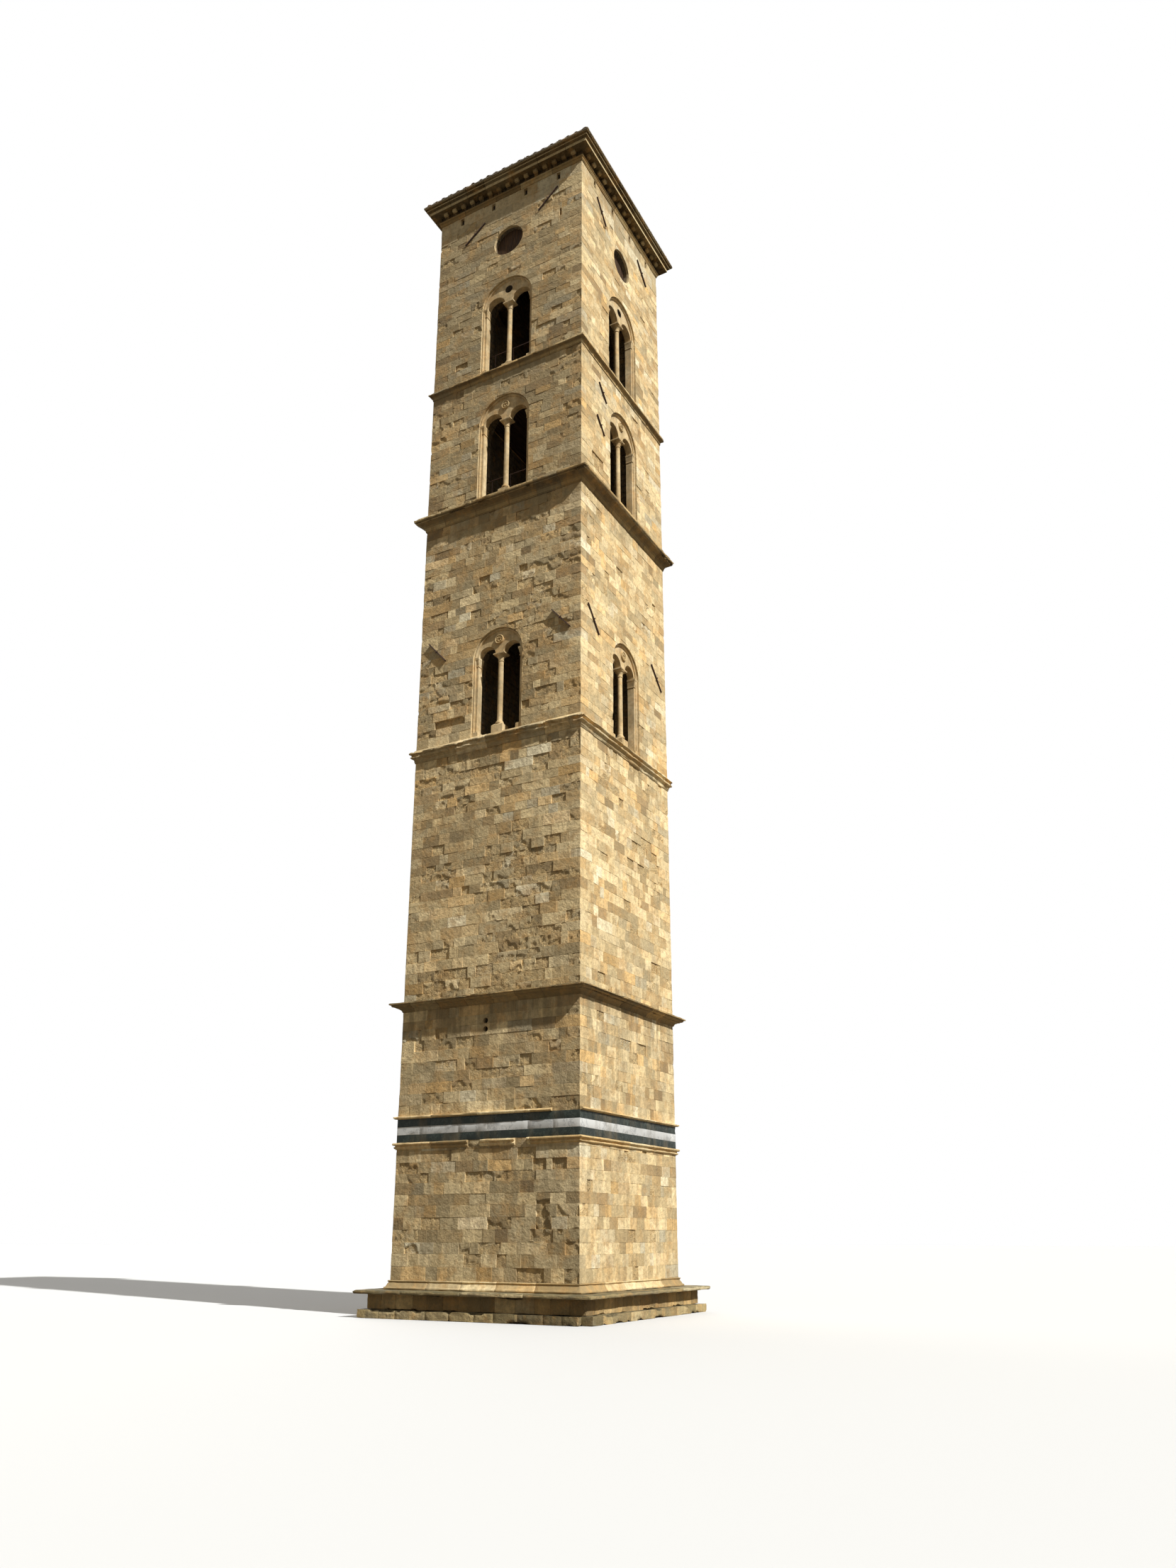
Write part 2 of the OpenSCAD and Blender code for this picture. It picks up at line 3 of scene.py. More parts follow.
import math
import random
from bisect import bisect
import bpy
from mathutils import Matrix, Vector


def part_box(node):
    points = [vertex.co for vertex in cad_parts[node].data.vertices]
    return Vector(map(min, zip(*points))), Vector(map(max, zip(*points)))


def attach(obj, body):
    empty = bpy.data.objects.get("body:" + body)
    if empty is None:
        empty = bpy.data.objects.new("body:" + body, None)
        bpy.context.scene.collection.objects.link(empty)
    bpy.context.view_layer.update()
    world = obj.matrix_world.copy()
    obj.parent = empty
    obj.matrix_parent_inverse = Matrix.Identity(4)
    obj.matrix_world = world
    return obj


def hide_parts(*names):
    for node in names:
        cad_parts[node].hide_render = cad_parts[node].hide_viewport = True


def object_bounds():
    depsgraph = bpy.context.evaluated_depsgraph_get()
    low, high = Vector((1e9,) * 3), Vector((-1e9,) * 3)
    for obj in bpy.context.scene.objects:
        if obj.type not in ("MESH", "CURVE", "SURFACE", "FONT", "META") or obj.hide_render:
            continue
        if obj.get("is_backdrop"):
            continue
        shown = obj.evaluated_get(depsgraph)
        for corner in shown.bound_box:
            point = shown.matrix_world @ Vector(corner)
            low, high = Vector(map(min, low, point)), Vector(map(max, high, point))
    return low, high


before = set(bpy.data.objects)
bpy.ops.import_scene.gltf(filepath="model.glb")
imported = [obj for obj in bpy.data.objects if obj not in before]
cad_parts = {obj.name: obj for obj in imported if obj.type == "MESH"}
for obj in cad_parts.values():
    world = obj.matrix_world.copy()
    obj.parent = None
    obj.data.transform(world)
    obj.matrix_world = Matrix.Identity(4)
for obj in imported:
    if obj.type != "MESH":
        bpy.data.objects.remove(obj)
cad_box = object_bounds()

from types import SimpleNamespace

import bmesh
import bpy
from mathutils import Matrix, Vector, noise

# Sizes of the shaft and of its facing stones, in metres
HALF = 2.85
FACING = 0.09
JOINT = 0.004
GAP = 0.0005
FINE, COARSE = 0.034, 0.15
SIDES = ("front", "right", "back", "left")
STOREYS = [tuple(corner.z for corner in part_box(f"front_wall_{n}")) for n in range(1, 6)]
PLINTH_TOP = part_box("plinth_moulding")[1].z

# The last two courses under the crown are taller, of longer stones
TALL_COURSE = 0.45
TALL_Z = STOREYS[4][1] - 2 * TALL_COURSE
TALL_LENGTHS = (0.45, 0.95)

# Marble band, with its slabs proud of the wall
BAND_Z = [corner.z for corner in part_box("dark_marble_courses")]
WHITE_Z = [corner.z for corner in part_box("white_marble_course")]
SLAB_PROUD, SLAB_THICK = 0.008, 0.158

# Paired windows of storeys 3 to 5: half width of the recess and height of its springing
RECESS = (0.87, 0.95, 0.98)
SPRING = [STOREYS[i + 2][0] + rise for i, rise in enumerate((2.55, 2.84, 2.60))]
OCULUS_LOW, OCULUS_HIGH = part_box("oculus_boards")
OCULUS_Z, OCULUS_R = 0.5 * (OCULUS_LOW.z + OCULUS_HIGH.z), 0.57
EYE_Z, EYE_R = SPRING[2] + 0.598, 0.14
ROSETTE_Z, ROSETTE_Y = (19.05, 27.53), -HALF + 0.112
ARCHITRAVE_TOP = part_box("crown_cornice")[0].z
FRIEZE = 0.236
PUTLOG_Z = STOREYS[4][1] - 0.34, STOREYS[4][1] - 0.04
PUTLOG_U, PUTLOG_W = (-1.95, -0.65, 0.65, 1.95), 0.14
DRAIN_Z = [STOREYS[0][1] - drop for drop in (0.45, 0.68)]
DRAIN_U, DRAIN_R = -0.06, 0.075


# Shared helpers
def linear(r, g, b):
    """A colour written as it shows on a screen, 0 to 255, as linear RGBA."""
    shares = (c / 255 for c in (r, g, b))
    return tuple(c / 12.92 if c < 0.0405 else ((c + 0.055) / 1.055) ** 2.4 for c in shares) + (1.0,)


def unit(value):
    """The value kept between 0 and 1."""
    return min(1.0, max(0.0, value))


def step_between(value, low, high):
    """0 below low, 1 above high, and smooth between them."""
    t = unit((value - low) / (high - low))
    return t * t * (3 - 2 * t)


UPRIGHT = Matrix.Rotation(math.pi / 2, 4, "X")


def to_side(side):
    """Turn that takes the front to the given side."""
    return Matrix.Rotation(side * math.pi / 2, 4, "Z")


def turned(bm, matrix):
    bmesh.ops.transform(bm, matrix=matrix, verts=bm.verts[:])
    return bm


def new_verts(made):
    """The vertices among what an extrusion made."""
    return [item for item in made["geom"] if isinstance(item, bmesh.types.BMVert)]


def bisected(bm, place, normal, clear=False):
    """Cuts the whole bmesh at a plane, and drops what lies past it if clear is set."""
    geom = bm.verts[:] + bm.edges[:] + bm.faces[:]
    bmesh.ops.bisect_plane(bm, geom=geom, dist=1e-5, plane_co=place, plane_no=normal, clear_outer=clear)


def deepened(bm, depth):
    """Gives flat faces a depth along Y."""
    made = bmesh.ops.extrude_face_region(bm, geom=bm.faces[:])
    bmesh.ops.translate(bm, vec=(0, depth, 0), verts=new_verts(made))
    bmesh.ops.recalc_face_normals(bm, faces=bm.faces[:])
    return bm


def closed(bm):
    """Fills the open rims and turns every face outward."""
    bmesh.ops.holes_fill(bm, edges=[edge for edge in bm.edges if edge.is_boundary], sides=0)
    bmesh.ops.recalc_face_normals(bm, faces=bm.faces[:])
    return bm


def lathed(points, axis, steps):
    """Closed shape turned from a line of points."""
    bm = bmesh.new()
    profile = [bm.verts.new(point) for point in points]
    edges = [bm.edges.new(pair) for pair in zip(profile, profile[1:])]
    bmesh.ops.spin(
        bm, geom=profile + edges, cent=(0, 0, 0), axis=axis, angle=2 * math.pi, steps=steps, use_merge=True
    )
    bmesh.ops.remove_doubles(bm, verts=bm.verts, dist=1e-5)
    return closed(bm)


def islands(bm):
    """Lists of faces that hang together, in the order of their first faces."""
    left, found = set(bm.faces), []
    for first in bm.faces:
        group = [first] if first in left else []
        left.discard(first)
        for face in group:
            near = {other for edge in face.edges for other in edge.link_faces if other in left}
            left -= near
            group += near
        if group:
            found.append(group)
    return found


def merged_copy(node):
    """The CAD node's mesh as a closed bmesh without its triangle edges."""
    bm = bmesh.new()
    bm.from_mesh(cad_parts[node].data)
    bmesh.ops.remove_doubles(bm, verts=bm.verts, dist=1e-5)
    bmesh.ops.dissolve_limit(bm, angle_limit=0.01, verts=bm.verts, edges=bm.edges, delimit=set())
    return bm


def as_mesh(bm, name):
    """The bmesh as a mesh; the bmesh is freed."""
    mesh = bpy.data.meshes.new(name)
    bm.to_mesh(mesh)
    bm.free()
    return mesh


def joined(parts):
    """One bmesh of several, through scratch meshes."""
    whole = bmesh.new()
    for part in parts:
        mesh = as_mesh(part, "part")
        whole.from_mesh(mesh)
        bpy.data.meshes.remove(mesh)
    return whole


def shown(name, data):
    """A new object in the scene."""
    item = bpy.data.objects.new(name, data)
    bpy.context.scene.collection.objects.link(item)
    return item


def finished(bm, name, materials, nodes=(), sharp=35):
    """Makes the bmesh a piece that rides on the tower and stands for the given CAD nodes."""
    mesh = as_mesh(bm, name)
    piece = shown(name, mesh)
    for material in materials:
        mesh.materials.append(material)
    mesh.shade_smooth()
    mesh.set_sharp_from_angle(angle=math.radians(sharp))
    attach(piece, "root")
    if nodes:
        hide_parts(*nodes)


def stone_layer(bm):
    """The colour attribute that the stone materials read."""
    return bm.loops.layers.float_color.get("stone") or bm.loops.layers.float_color.new("stone")


def paint(bm, marks, faces=None):
    """Writes marks, or marks(face, vertex), to the stone's attribute: (tone, spall, joint, value)."""
    layer = stone_layer(bm)
    for face in faces or bm.faces:
        for loop in face.loops:
            loop[layer] = marks(face, loop.vert) if callable(marks) else marks


# Nodes
class Nodes:
    """Short ways to add shader nodes to a tree, with textures laid by its place."""

    def __init__(self, tree):
        self.tree, self.place = tree, None

    def plug(self, node, sources):
        """Gives inputs of a node their links or values."""
        for name, value in sources.items():
            if isinstance(value, bpy.types.NodeSocket):
                self.tree.links.new(value, node.inputs[name])
            else:
                node.inputs[name].default_value = value

    def node(self, kind, inputs, settings):
        node = self.tree.nodes.new("ShaderNode" + kind)
        for name, value in settings.items():
            setattr(node, name, value)
        self.plug(node, inputs)
        return node

    def add(self, kind, inputs=(), **settings):
        """Outputs of a new node."""
        return self.node(kind, dict(inputs), settings).outputs

    def mix(self, factor, a, b):
        return self.add("Mix", {0: factor, 6: a, 7: b}, data_type="RGBA")[2]

    def scale(self, vector, value):
        return self.add("VectorMath", {0: vector, "Scale": value}, operation="SCALE")[0]

    def maths(self, operation, a, b=0.0):
        return self.add("Math", {0: a, 1: b}, operation=operation)[0]

    def times(self, a, b):
        return self.maths("MULTIPLY", a, b)

    def plus(self, a, b, share=None):
        """a and b added, or a and a share of b."""
        return self.maths("ADD", a, self.times(b, share) if share else b)

    def smooth(self, value, low, high, to_low=0.0, to_high=1.0):
        given = {"Value": value, "From Min": low, "From Max": high, "To Min": to_low, "To Max": to_high}
        return self.add("MapRange", given, interpolation_type="SMOOTHSTEP")[0]

    def cloud(self, scale, detail=4.0, roughness=0.6, stretch=None):
        vector = self.place
        if stretch:
            vector = self.add("Mapping", {"Vector": vector, "Scale": stretch})[0]
        inputs = {"Vector": vector, "Scale": scale, "Detail": detail, "Roughness": roughness}
        return self.add("TexNoise", inputs)["Fac"]

    def ramp(self, value, stops):
        """Colour ramp from a list of (place, linear colour)."""
        node = self.node("ValToRGB", {"Fac": value}, {})
        marks = node.color_ramp.elements
        while len(marks) < len(stops):
            marks.new(0.5)
        for mark, (place, colour) in zip(marks, stops):
            mark.position, mark.color = place, colour
        return node.outputs["Color"]

    def palette(self, value, stops):
        """Colour ramp from a list of (place, colour as it shows on a screen)."""
        return self.ramp(value, [(place, linear(*colour)) for place, colour in stops])

    def axes(self, vector):
        return self.add("SeparateXYZ", {"Vector": vector})

    def marks(self):
        """Outputs of what is painted on the stones: (tone, spall, joint), and value."""
        painted = self.add("Attribute", attribute_name="stone", attribute_type="GEOMETRY")
        return self.add("SeparateColor", {0: painted["Color"]}), painted["Alpha"]


def make_weathering():
    """Group that lays mottling, grain, pits, dirt streaks and lichen over a stone colour."""
    n = Nodes(bpy.data.node_groups.new("weathering", "ShaderNodeTree"))
    floats = {"Dirt": "Float", "Lichen": "Float", "Spall": "Float"}
    sockets = {
        "INPUT": {"Place": "Vector", "Color": "Color", **floats},
        "OUTPUT": {"Color": "Color", "Roughness": "Float", "Height": "Float"},
    }
    for way, kinds in sockets.items():
        for label, kind in kinds.items():
            n.tree.interface.new_socket(name=label, in_out=way, socket_type="NodeSocket" + kind)
    given = n.tree.nodes.new("NodeGroupInput").outputs
    n.place = given["Place"]
    patches = n.cloud(2.6, 6.0, 0.62)
    blotches = n.cloud(9.0, 5.0, 0.65)
    chisel = n.cloud(24.0, 5.0, 0.7)
    grain = n.cloud(70.0, 3.0, 0.7)
    streaks = n.cloud(2.2, 5.0, 0.6, stretch=(2.2, 2.2, 0.28))
    growth = n.cloud(0.9, 7.0, 0.68)
    pits = n.add("TexVoronoi", {"Vector": n.place, "Scale": 26.0})["Distance"]
    pitted = n.times(n.smooth(pits, 0.27, 0.1), n.smooth(blotches, 0.54, 0.66))
    warm = n.smooth(patches, 0.46, 0.68, 0.0, 0.5)
    cool = n.smooth(blotches, 0.55, 0.38, 0.0, 0.25)
    value = n.smooth(n.plus(blotches, grain, 0.5), 0.5, 1.0, 0.84, 1.12)
    dirty = n.times(given["Dirt"], n.smooth(streaks, 0.34, 0.62))
    grown = n.times(given["Lichen"], n.smooth(growth, 0.52, 0.66))
    colour = n.mix(warm, given["Color"], linear(210, 164, 100))
    colour = n.scale(n.mix(cool, colour, linear(182, 160, 120)), value)
    colour = n.mix(dirty, colour, linear(104, 90, 66))
    colour = n.mix(grown, colour, linear(142, 131, 104))
    colour = n.mix(n.times(pitted, 0.7), colour, linear(74, 58, 40))
    ground = n.plus(n.plus(n.times(blotches, 2.2), chisel, 0.5), grain, 0.22)
    broken = n.times(given["Spall"], n.plus(blotches, chisel, 3.4))
    height = n.plus(n.plus(ground, broken), pitted, -0.9)
    sheen = n.smooth(grain, 0.3, 0.7, 0.82, 0.97)
    n.plug(n.tree.nodes.new("NodeGroupOutput"), {"Color": colour, "Roughness": sheen, "Height": height})
    return n.tree


WEATHERING = make_weathering()


# Materials
def new_material(name, bump, distance, gloss=0.5):
    """An empty material, with its nodes, its surface shader and its bump node."""
    material = bpy.data.materials.new(name)
    material.use_nodes = True
    n = Nodes(material.node_tree)
    n.place = n.add("TexCoord")["Object"]
    surface = n.tree.nodes["Principled BSDF"]
    relief = n.node("Bump", {"Strength": bump, "Distance": distance}, {})
    n.plug(surface, {"Specular IOR Level": gloss, "Normal": relief.outputs["Normal"]})
    return material, n, surface, relief


def weathered(n, surface, relief, colour, dirt, lichen, spall=0.0):
    """Feeds the surface and its relief with a weathered colour."""
    given = {"Place": n.place, "Color": colour, "Dirt": dirt, "Lichen": lichen, "Spall": spall}
    group = n.add("Group", given, node_tree=WEATHERING)
    n.plug(surface, {"Base Color": group["Color"], "Roughness": group["Roughness"]})
    n.plug(relief, {"Height": group["Height"]})
    return group


# Share of the dark streaks by height: more of them under each cornice and on the lowest storey, fewer above
# each course
STREAK_STOPS = (
    (0.0, 0.45), (1.5, 0.25), (4.2, 0.28), (6.6, 0.28), (7.9, 0.55), (8.2, 0.3), (9.5, 0.12),
    (14.6, 0.12), (15.5, 0.35), (16.1, 0.1), (22.4, 0.1), (23.5, 0.35), (24.2, 0.15),
    (27.9, 0.12), (28.7, 0.35), (29.1, 0.1), (34.9, 0.1), (36.1, 0.2), (37.9, 0.3),
)
STREAK_TOP = 38.0


def make_block_stone(
    name, palette, dirt=1.0, lichen=0.3, joint_and_shade_tints=((104, 86, 62), (176, 158, 126)), moss=0.0, bump=(0.9, 0.018),
    cover=0.75, gloss=0.35,
):
    """Stone whose tone, spalling, joints and value come from the attribute painted on each block."""
    material, n, surface, relief = new_material(name, *bump, gloss)
    (tone, spall, joint), value = n.marks()
    value = n.smooth(value, 0.0, 1.0, 0.56, 1.24)
    colour = n.scale(n.palette(tone, palette), value)
    fresh = n.times(spall, n.smooth(n.cloud(5.0), 0.35, 0.65, 0.2, 0.95))
    colour = n.mix(fresh, colour, linear(242, 208, 148))
    # Joint colours; on the moulded courses the joint mark also lays these as painted shade under lips, on
    # soffits and in the frieze
    dark, pale = (linear(*tint) for tint in joint_and_shade_tints)
    joint_and_shade_fill = n.mix(n.smooth(n.cloud(0.8), 0.45, 0.6), dark, pale)
    colour = n.mix(n.smooth(joint, 0.1, 1.0, 0.0, cover), colour, joint_and_shade_fill)
    height = n.maths("DIVIDE", n.axes(n.place)["Z"], STREAK_TOP)
    streak_share = n.times(n.ramp(height, [(z / STREAK_TOP, (d, d, d, 1)) for z, d in STREAK_STOPS]), dirt)
    group = weathered(n, surface, relief, colour, streak_share, lichen, spall)
    if moss:
        upward = n.axes(n.add("NewGeometry")["Normal"])["Z"]
        growth = n.smooth(n.cloud(3.5, 6.0, 0.7), 0.36, 0.56, 0.3, 1.0)
        grown = n.times(n.smooth(upward, 0.3, 0.75, 0.0, moss), growth)
        n.plug(surface, {"Base Color": n.mix(grown, group["Color"], linear(84, 80, 58))})
    return material


WALL_PALETTE = (
    (0.0, (184, 154, 110)), (0.2, (214, 186, 136)), (0.42, (236, 211, 160)), (0.6, (247, 223, 174)),
    (0.72, (238, 196, 130)), (0.82, (252, 238, 200)), (0.91, (222, 201, 158)), (1.0, (202, 182, 142)),
)
COURSE_PALETTE = (
    (0.0, (150, 124, 82)), (0.3, (186, 156, 104)), (0.6, (214, 180, 122)), (0.85, (226, 198, 142)),
    (1.0, (188, 168, 128)),
)
DRESSED_PALETTE = (
    (0.0, (200, 170, 118)), (0.4, (228, 200, 148)), (0.75, (242, 220, 172)), (1.0, (214, 196, 158)),
)
BASE_PALETTE = (
    (0.0, (130, 116, 80)), (0.4, (174, 154, 108)), (0.75, (208, 184, 132)), (1.0, (222, 206, 164)),
)
CROWN_PALETTE = (
    (0.0, (126, 104, 70)), (0.35, (158, 132, 90)), (0.65, (186, 160, 112)), (1.0, (214, 194, 150)),
)
CLAY_PALETTE = (
    (0.0, (112, 80, 58)), (0.3, (142, 102, 72)), (0.55, (156, 124, 90)), (0.8, (132, 114, 90)),
    (1.0, (100, 90, 72)),
)
PLATE_PALETTE = ((0.3, (202, 172, 120)), (0.5, (226, 198, 148)), (0.7, (240, 218, 174)))
IRON_PALETTE = ((0.3, (48, 40, 36)), (0.5, (66, 50, 40)), (0.72, (104, 66, 42)))
MORTAR_PALETTE = ((0.3, (74, 64, 50)), (0.5, (98, 86, 66)), (0.7, (126, 110, 84)))


def make_dressed_stone():
    """Stone of the plates, jambs and columns, with painted shade in the pierced eye of the top windows."""
    material, n, surface, relief = new_material("dressed_stone", 0.45, 0.006)
    tones = n.palette(n.cloud(1.1, 3.0), PLATE_PALETTE)
    group = weathered(n, surface, relief, tones, 0.3, 0.35)
    axes = n.axes(n.place)
    along = n.maths("MINIMUM", n.maths("ABSOLUTE", axes["X"]), n.maths("ABSOLUTE", axes["Y"]))
    rise = n.maths("SUBTRACT", axes["Z"], EYE_Z)
    flat = n.add("CombineXYZ", {"X": along, "Z": rise})[0]
    from_eye = n.add("VectorMath", {0: flat}, operation="LENGTH")["Value"]
    # Painted shade: the eye's inner faces are darkened almost to black
    soot = n.smooth(from_eye, EYE_R + 0.006, EYE_R + 0.001, 0.0, 0.92)
    n.plug(surface, {"Base Color": n.mix(soot, group["Color"], linear(34, 27, 19))})
    return material


def make_inner_stone():
    """Rough coursed stone on the inside of the shaft."""
    material, n, surface, relief = new_material("inner_rough_stone", 0.9, 0.02)
    axes = n.axes(n.place)
    flat = n.add("CombineXYZ", {"X": n.plus(axes["X"], axes["Y"]), "Y": axes["Z"]})[0]
    wobble = n.add("TexNoise", {"Vector": n.place, "Scale": 3.0})["Color"]
    bent = n.add("VectorMath", {0: flat, 1: n.scale(wobble, 0.09)}, operation="ADD")[0]
    courses = {
        "Vector": bent, "Color1": linear(128, 112, 84), "Color2": linear(104, 94, 76),
        "Mortar": linear(70, 60, 46), "Mortar Size": 0.018, "Mortar Smooth": 0.6,
        "Scale": 1.0, "Brick Width": 0.46, "Row Height": 0.24,
    }
    laid = n.add("TexBrick", courses, offset=0.43, squash=0.7, squash_frequency=3)
    group = weathered(n, surface, relief, laid["Color"], 0.45, 0.3, 0.6)
    n.plug(relief, {"Height": n.plus(group["Height"], laid["Fac"], -1.6)})
    return material


def make_marble(name, ground, vein, bright):
    material, n, surface, relief = new_material(name, 0.2, 0.003, 0.2)
    (tone, _, joint), _ = n.marks()
    from_vein = n.maths("ABSOLUTE", n.maths("SUBTRACT", n.cloud(2.4, 8.0, 0.7), 0.5))
    colour = n.mix(n.smooth(from_vein, 0.0, 0.035, 0.75, 0.0), linear(*ground), linear(*vein))
    pale = n.smooth(n.cloud(6.0, 5.0), 0.4, 0.7, 0.0, 0.4)
    value = n.smooth(tone, 0.0, 1.0, 0.82, 1.08)
    colour = n.scale(n.mix(pale, colour, linear(*bright)), value)
    soot = n.smooth(n.cloud(1.3, 6.0, 0.6, stretch=(2.0, 2.0, 0.5)), 0.45, 0.75, 0.0, 0.5)
    colour = n.mix(soot, colour, linear(118, 106, 84))
    colour = n.mix(n.smooth(joint, 0.3, 0.9, 0.0, 0.8), colour, linear(70, 62, 48))
    worn = n.cloud(18.0, 4.0)
    n.plug(surface, {"Base Color": colour, "Roughness": n.smooth(worn, 0.3, 0.7, 0.38, 0.62)})
    n.plug(relief, {"Height": worn})
    return material


def make_iron():
    material, n, surface, relief = new_material("old_iron", 0.5, 0.003)
    rust = n.cloud(14.0, 7.0, 0.7)
    n.plug(surface, {
        "Base Color": n.palette(rust, IRON_PALETTE),
        "Metallic": n.smooth(rust, 0.35, 0.6, 0.75, 0.15),
        "Roughness": n.smooth(rust, 0.3, 0.65, 0.5, 0.88),
    })
    n.plug(relief, {"Height": rust})
    return material


def make_timber(name, pale, dark, stretch):
    """Old wood with its grain along the axis of the least stretch."""
    material, n, surface, relief = new_material(name, 0.6, 0.004, 0.2)
    grain = n.cloud(3.0, 8.0, 0.7, stretch=stretch)
    fibres = n.cloud(12.0, 4.0, 0.7, stretch=stretch)
    colour = n.mix(n.smooth(grain, 0.35, 0.65), linear(*dark), linear(*pale))
    colour = n.mix(n.smooth(fibres, 0.52, 0.7, 0.0, 0.6), colour, linear(38, 30, 24))
    n.plug(surface, {"Base Color": colour, "Roughness": n.smooth(fibres, 0.3, 0.7, 0.7, 0.92)})
    n.plug(relief, {"Height": n.plus(grain, fibres)})
    return material


def make_deck_mortar():
    """Dark bedding under the tiles, which shows as a thin edge over the crown."""
    material, n, surface, relief = new_material("deck_mortar", 0.9, 0.012)
    tones = n.palette(n.cloud(5.0, 5.0, 0.7), MORTAR_PALETTE)
    weathered(n, surface, relief, tones, 0.6, 0.5, 0.6)
    return material


wall_stone = make_block_stone("wall_stone", WALL_PALETTE)
# Course stone: its joint tints also serve as painted shade under the cornice lips
weathered_stone = make_block_stone(
    "weathered_course_stone", COURSE_PALETTE, 0.8, 0.4, joint_and_shade_tints=((66, 50, 30), (112, 86, 50)), moss=0.9
)
moulded_stone = make_block_stone("moulded_course_stone", DRESSED_PALETTE, 0.5, 0.25, bump=(0.7, 0.008))
base_stone = make_block_stone(
    "mossy_base_stone", BASE_PALETTE, 0.6, 0.7, joint_and_shade_tints=((44, 38, 26), (84, 74, 52)), moss=0.8
)
# Crown stone: its near-black joint tints, laid at 0.95 cover, also serve as painted shade on the soffits, in
# the frieze and at the brackets' roots
crown_stone = make_block_stone(
    "crown_stone", CROWN_PALETTE, 0.7, 0.2, joint_and_shade_tints=((36, 25, 11), (60, 41, 18)), bump=(0.5, 0.004),
    cover=0.95, gloss=0.1,
)
dressed_stone = make_dressed_stone()
inner_stone = make_inner_stone()
white_marble = make_marble("white_marble", (214, 214, 210), (160, 162, 162), (226, 224, 218))
dark_marble = make_marble("dark_marble", (40, 47, 42), (70, 77, 70), (30, 35, 31))
old_iron = make_iron()
floor_timber = make_timber("floor_timber", (96, 76, 58), (64, 50, 40), (6.0, 0.6, 6.0))
# Old boards, darker than the floor timber, and darkened further as painted shade of the deep round openings
board_timber_painted_shade = make_timber("board_timber_painted_shade", (84, 60, 38), (40, 28, 18), (9.0, 9.0, 0.6))
roof_clay = make_block_stone("roof_clay", CLAY_PALETTE, 0.9, 0.8)
deck_mortar = make_deck_mortar()


# Facing stones
COURSE_HEIGHT = (0.29, 0.28, 0.27, 0.25, 0.25)

# Bed joints of storey 1, under and over the marble band
LOW_BEDS = (PLINTH_TOP, 1.25, 1.57, 1.85, 2.17, 2.47, 2.77, 3.05, 3.35, 3.6, 3.88, 4.17, BAND_Z[0])
HIGH_BEDS = (BAND_Z[1], 5.4, 5.7, 5.98, 6.25, 6.55, 6.85, 7.15, 7.45, 7.7, STOREYS[0][1])


def courses_of(storey):
    """(low, high) of every course of a storey."""
    if storey == 0:
        return [*zip(LOW_BEDS, LOW_BEDS[1:]), *zip(HIGH_BEDS, HIGH_BEDS[1:])]
    low, high = STOREYS[storey]
    high = TALL_Z if storey == 4 else high
    rng = random.Random(f"beds {storey}")
    shares = [rng.uniform(0.8, 1.2) for _ in range(round((high - low) / COURSE_HEIGHT[storey]))]
    lines = [low]
    for share in shares[:-1]:
        lines.append(lines[-1] + share / sum(shares) * (high - low))
    lines.append(high)
    if storey == 4:
        lines += [high + TALL_COURSE, high + 2 * TALL_COURSE]
    return list(zip(lines, lines[1:]))


def quoin(corner, row):
    """Lengths of a corner stone on the face before and the face after it, long and short by turns."""
    rng = random.Random(f"quoin {corner} {row}")
    long, short = rng.uniform(0.55, 0.95), rng.uniform(0.3, 0.46)
    return (long, short) if (row + corner) % 2 else (short, long)


# Ranges of lengths of the stones on the front and back, and on the right and left
STONE_LENGTHS = (
    ((0.24, 0.4), (0.3, 0.55), (0.3, 0.6), (0.5, 0.95)),
    ((0.2, 0.32), (0.22, 0.4), (0.26, 0.44), (0.4, 0.7)),
)


def joints_of(side, row, below, z_mid, openings):
    """Places of the upright joints of one course, kept off those below and off the edges of openings."""
    rng = random.Random(f"joints {side} {row}")
    end = HALF - quoin(side, row)[0]
    places = [-HALF + quoin((side - 1) % 4, row)[1]]
    while end - places[-1] > 0.3:
        lengths = TALL_LENGTHS if z_mid > TALL_Z else rng.choice(STONE_LENGTHS[side % 2])
        place = places[-1] + rng.uniform(*lengths)
        if below and min(abs(place - b) for b in below) < 0.07:
            place += 0.1
        if end - place < 0.2:
            break
        places.append(place)
    places.append(end)
    for z0, z1, u0, u1 in openings:
        if z0 < z_mid < z1:
            places = [p for p in places if not (u0 - 0.13 < p < u0 + 0.03 or u1 - 0.03 < p < u1 + 0.13)]
    return places


# By side and storey: share of spalled stones, and how much paler the stones are; the sunlit right side is
# painted paler as painted sunlight, and the front is darker in its upper storeys
SPALL_SHARE = (
    (0.18, 0.56, 0.32, 0.18, 0.16), (0.06, 0.12, 0.07, 0.05, 0.05),
    (0.10, 0.18, 0.12, 0.08, 0.07), (0.09, 0.15, 0.10, 0.07, 0.07),
)
VALUE_AND_LIGHT_SHIFT = (
    (0.03, 0.13, -0.02, -0.19, -0.28), (0.2, 0.26, 0.24, 0.23, 0.16),
    (0.0, 0.05, 0.0, 0.0, 0.0), (0.0, 0.05, 0.0, 0.0, 0.0),
)
MIDDLE_VALUE = 0.45

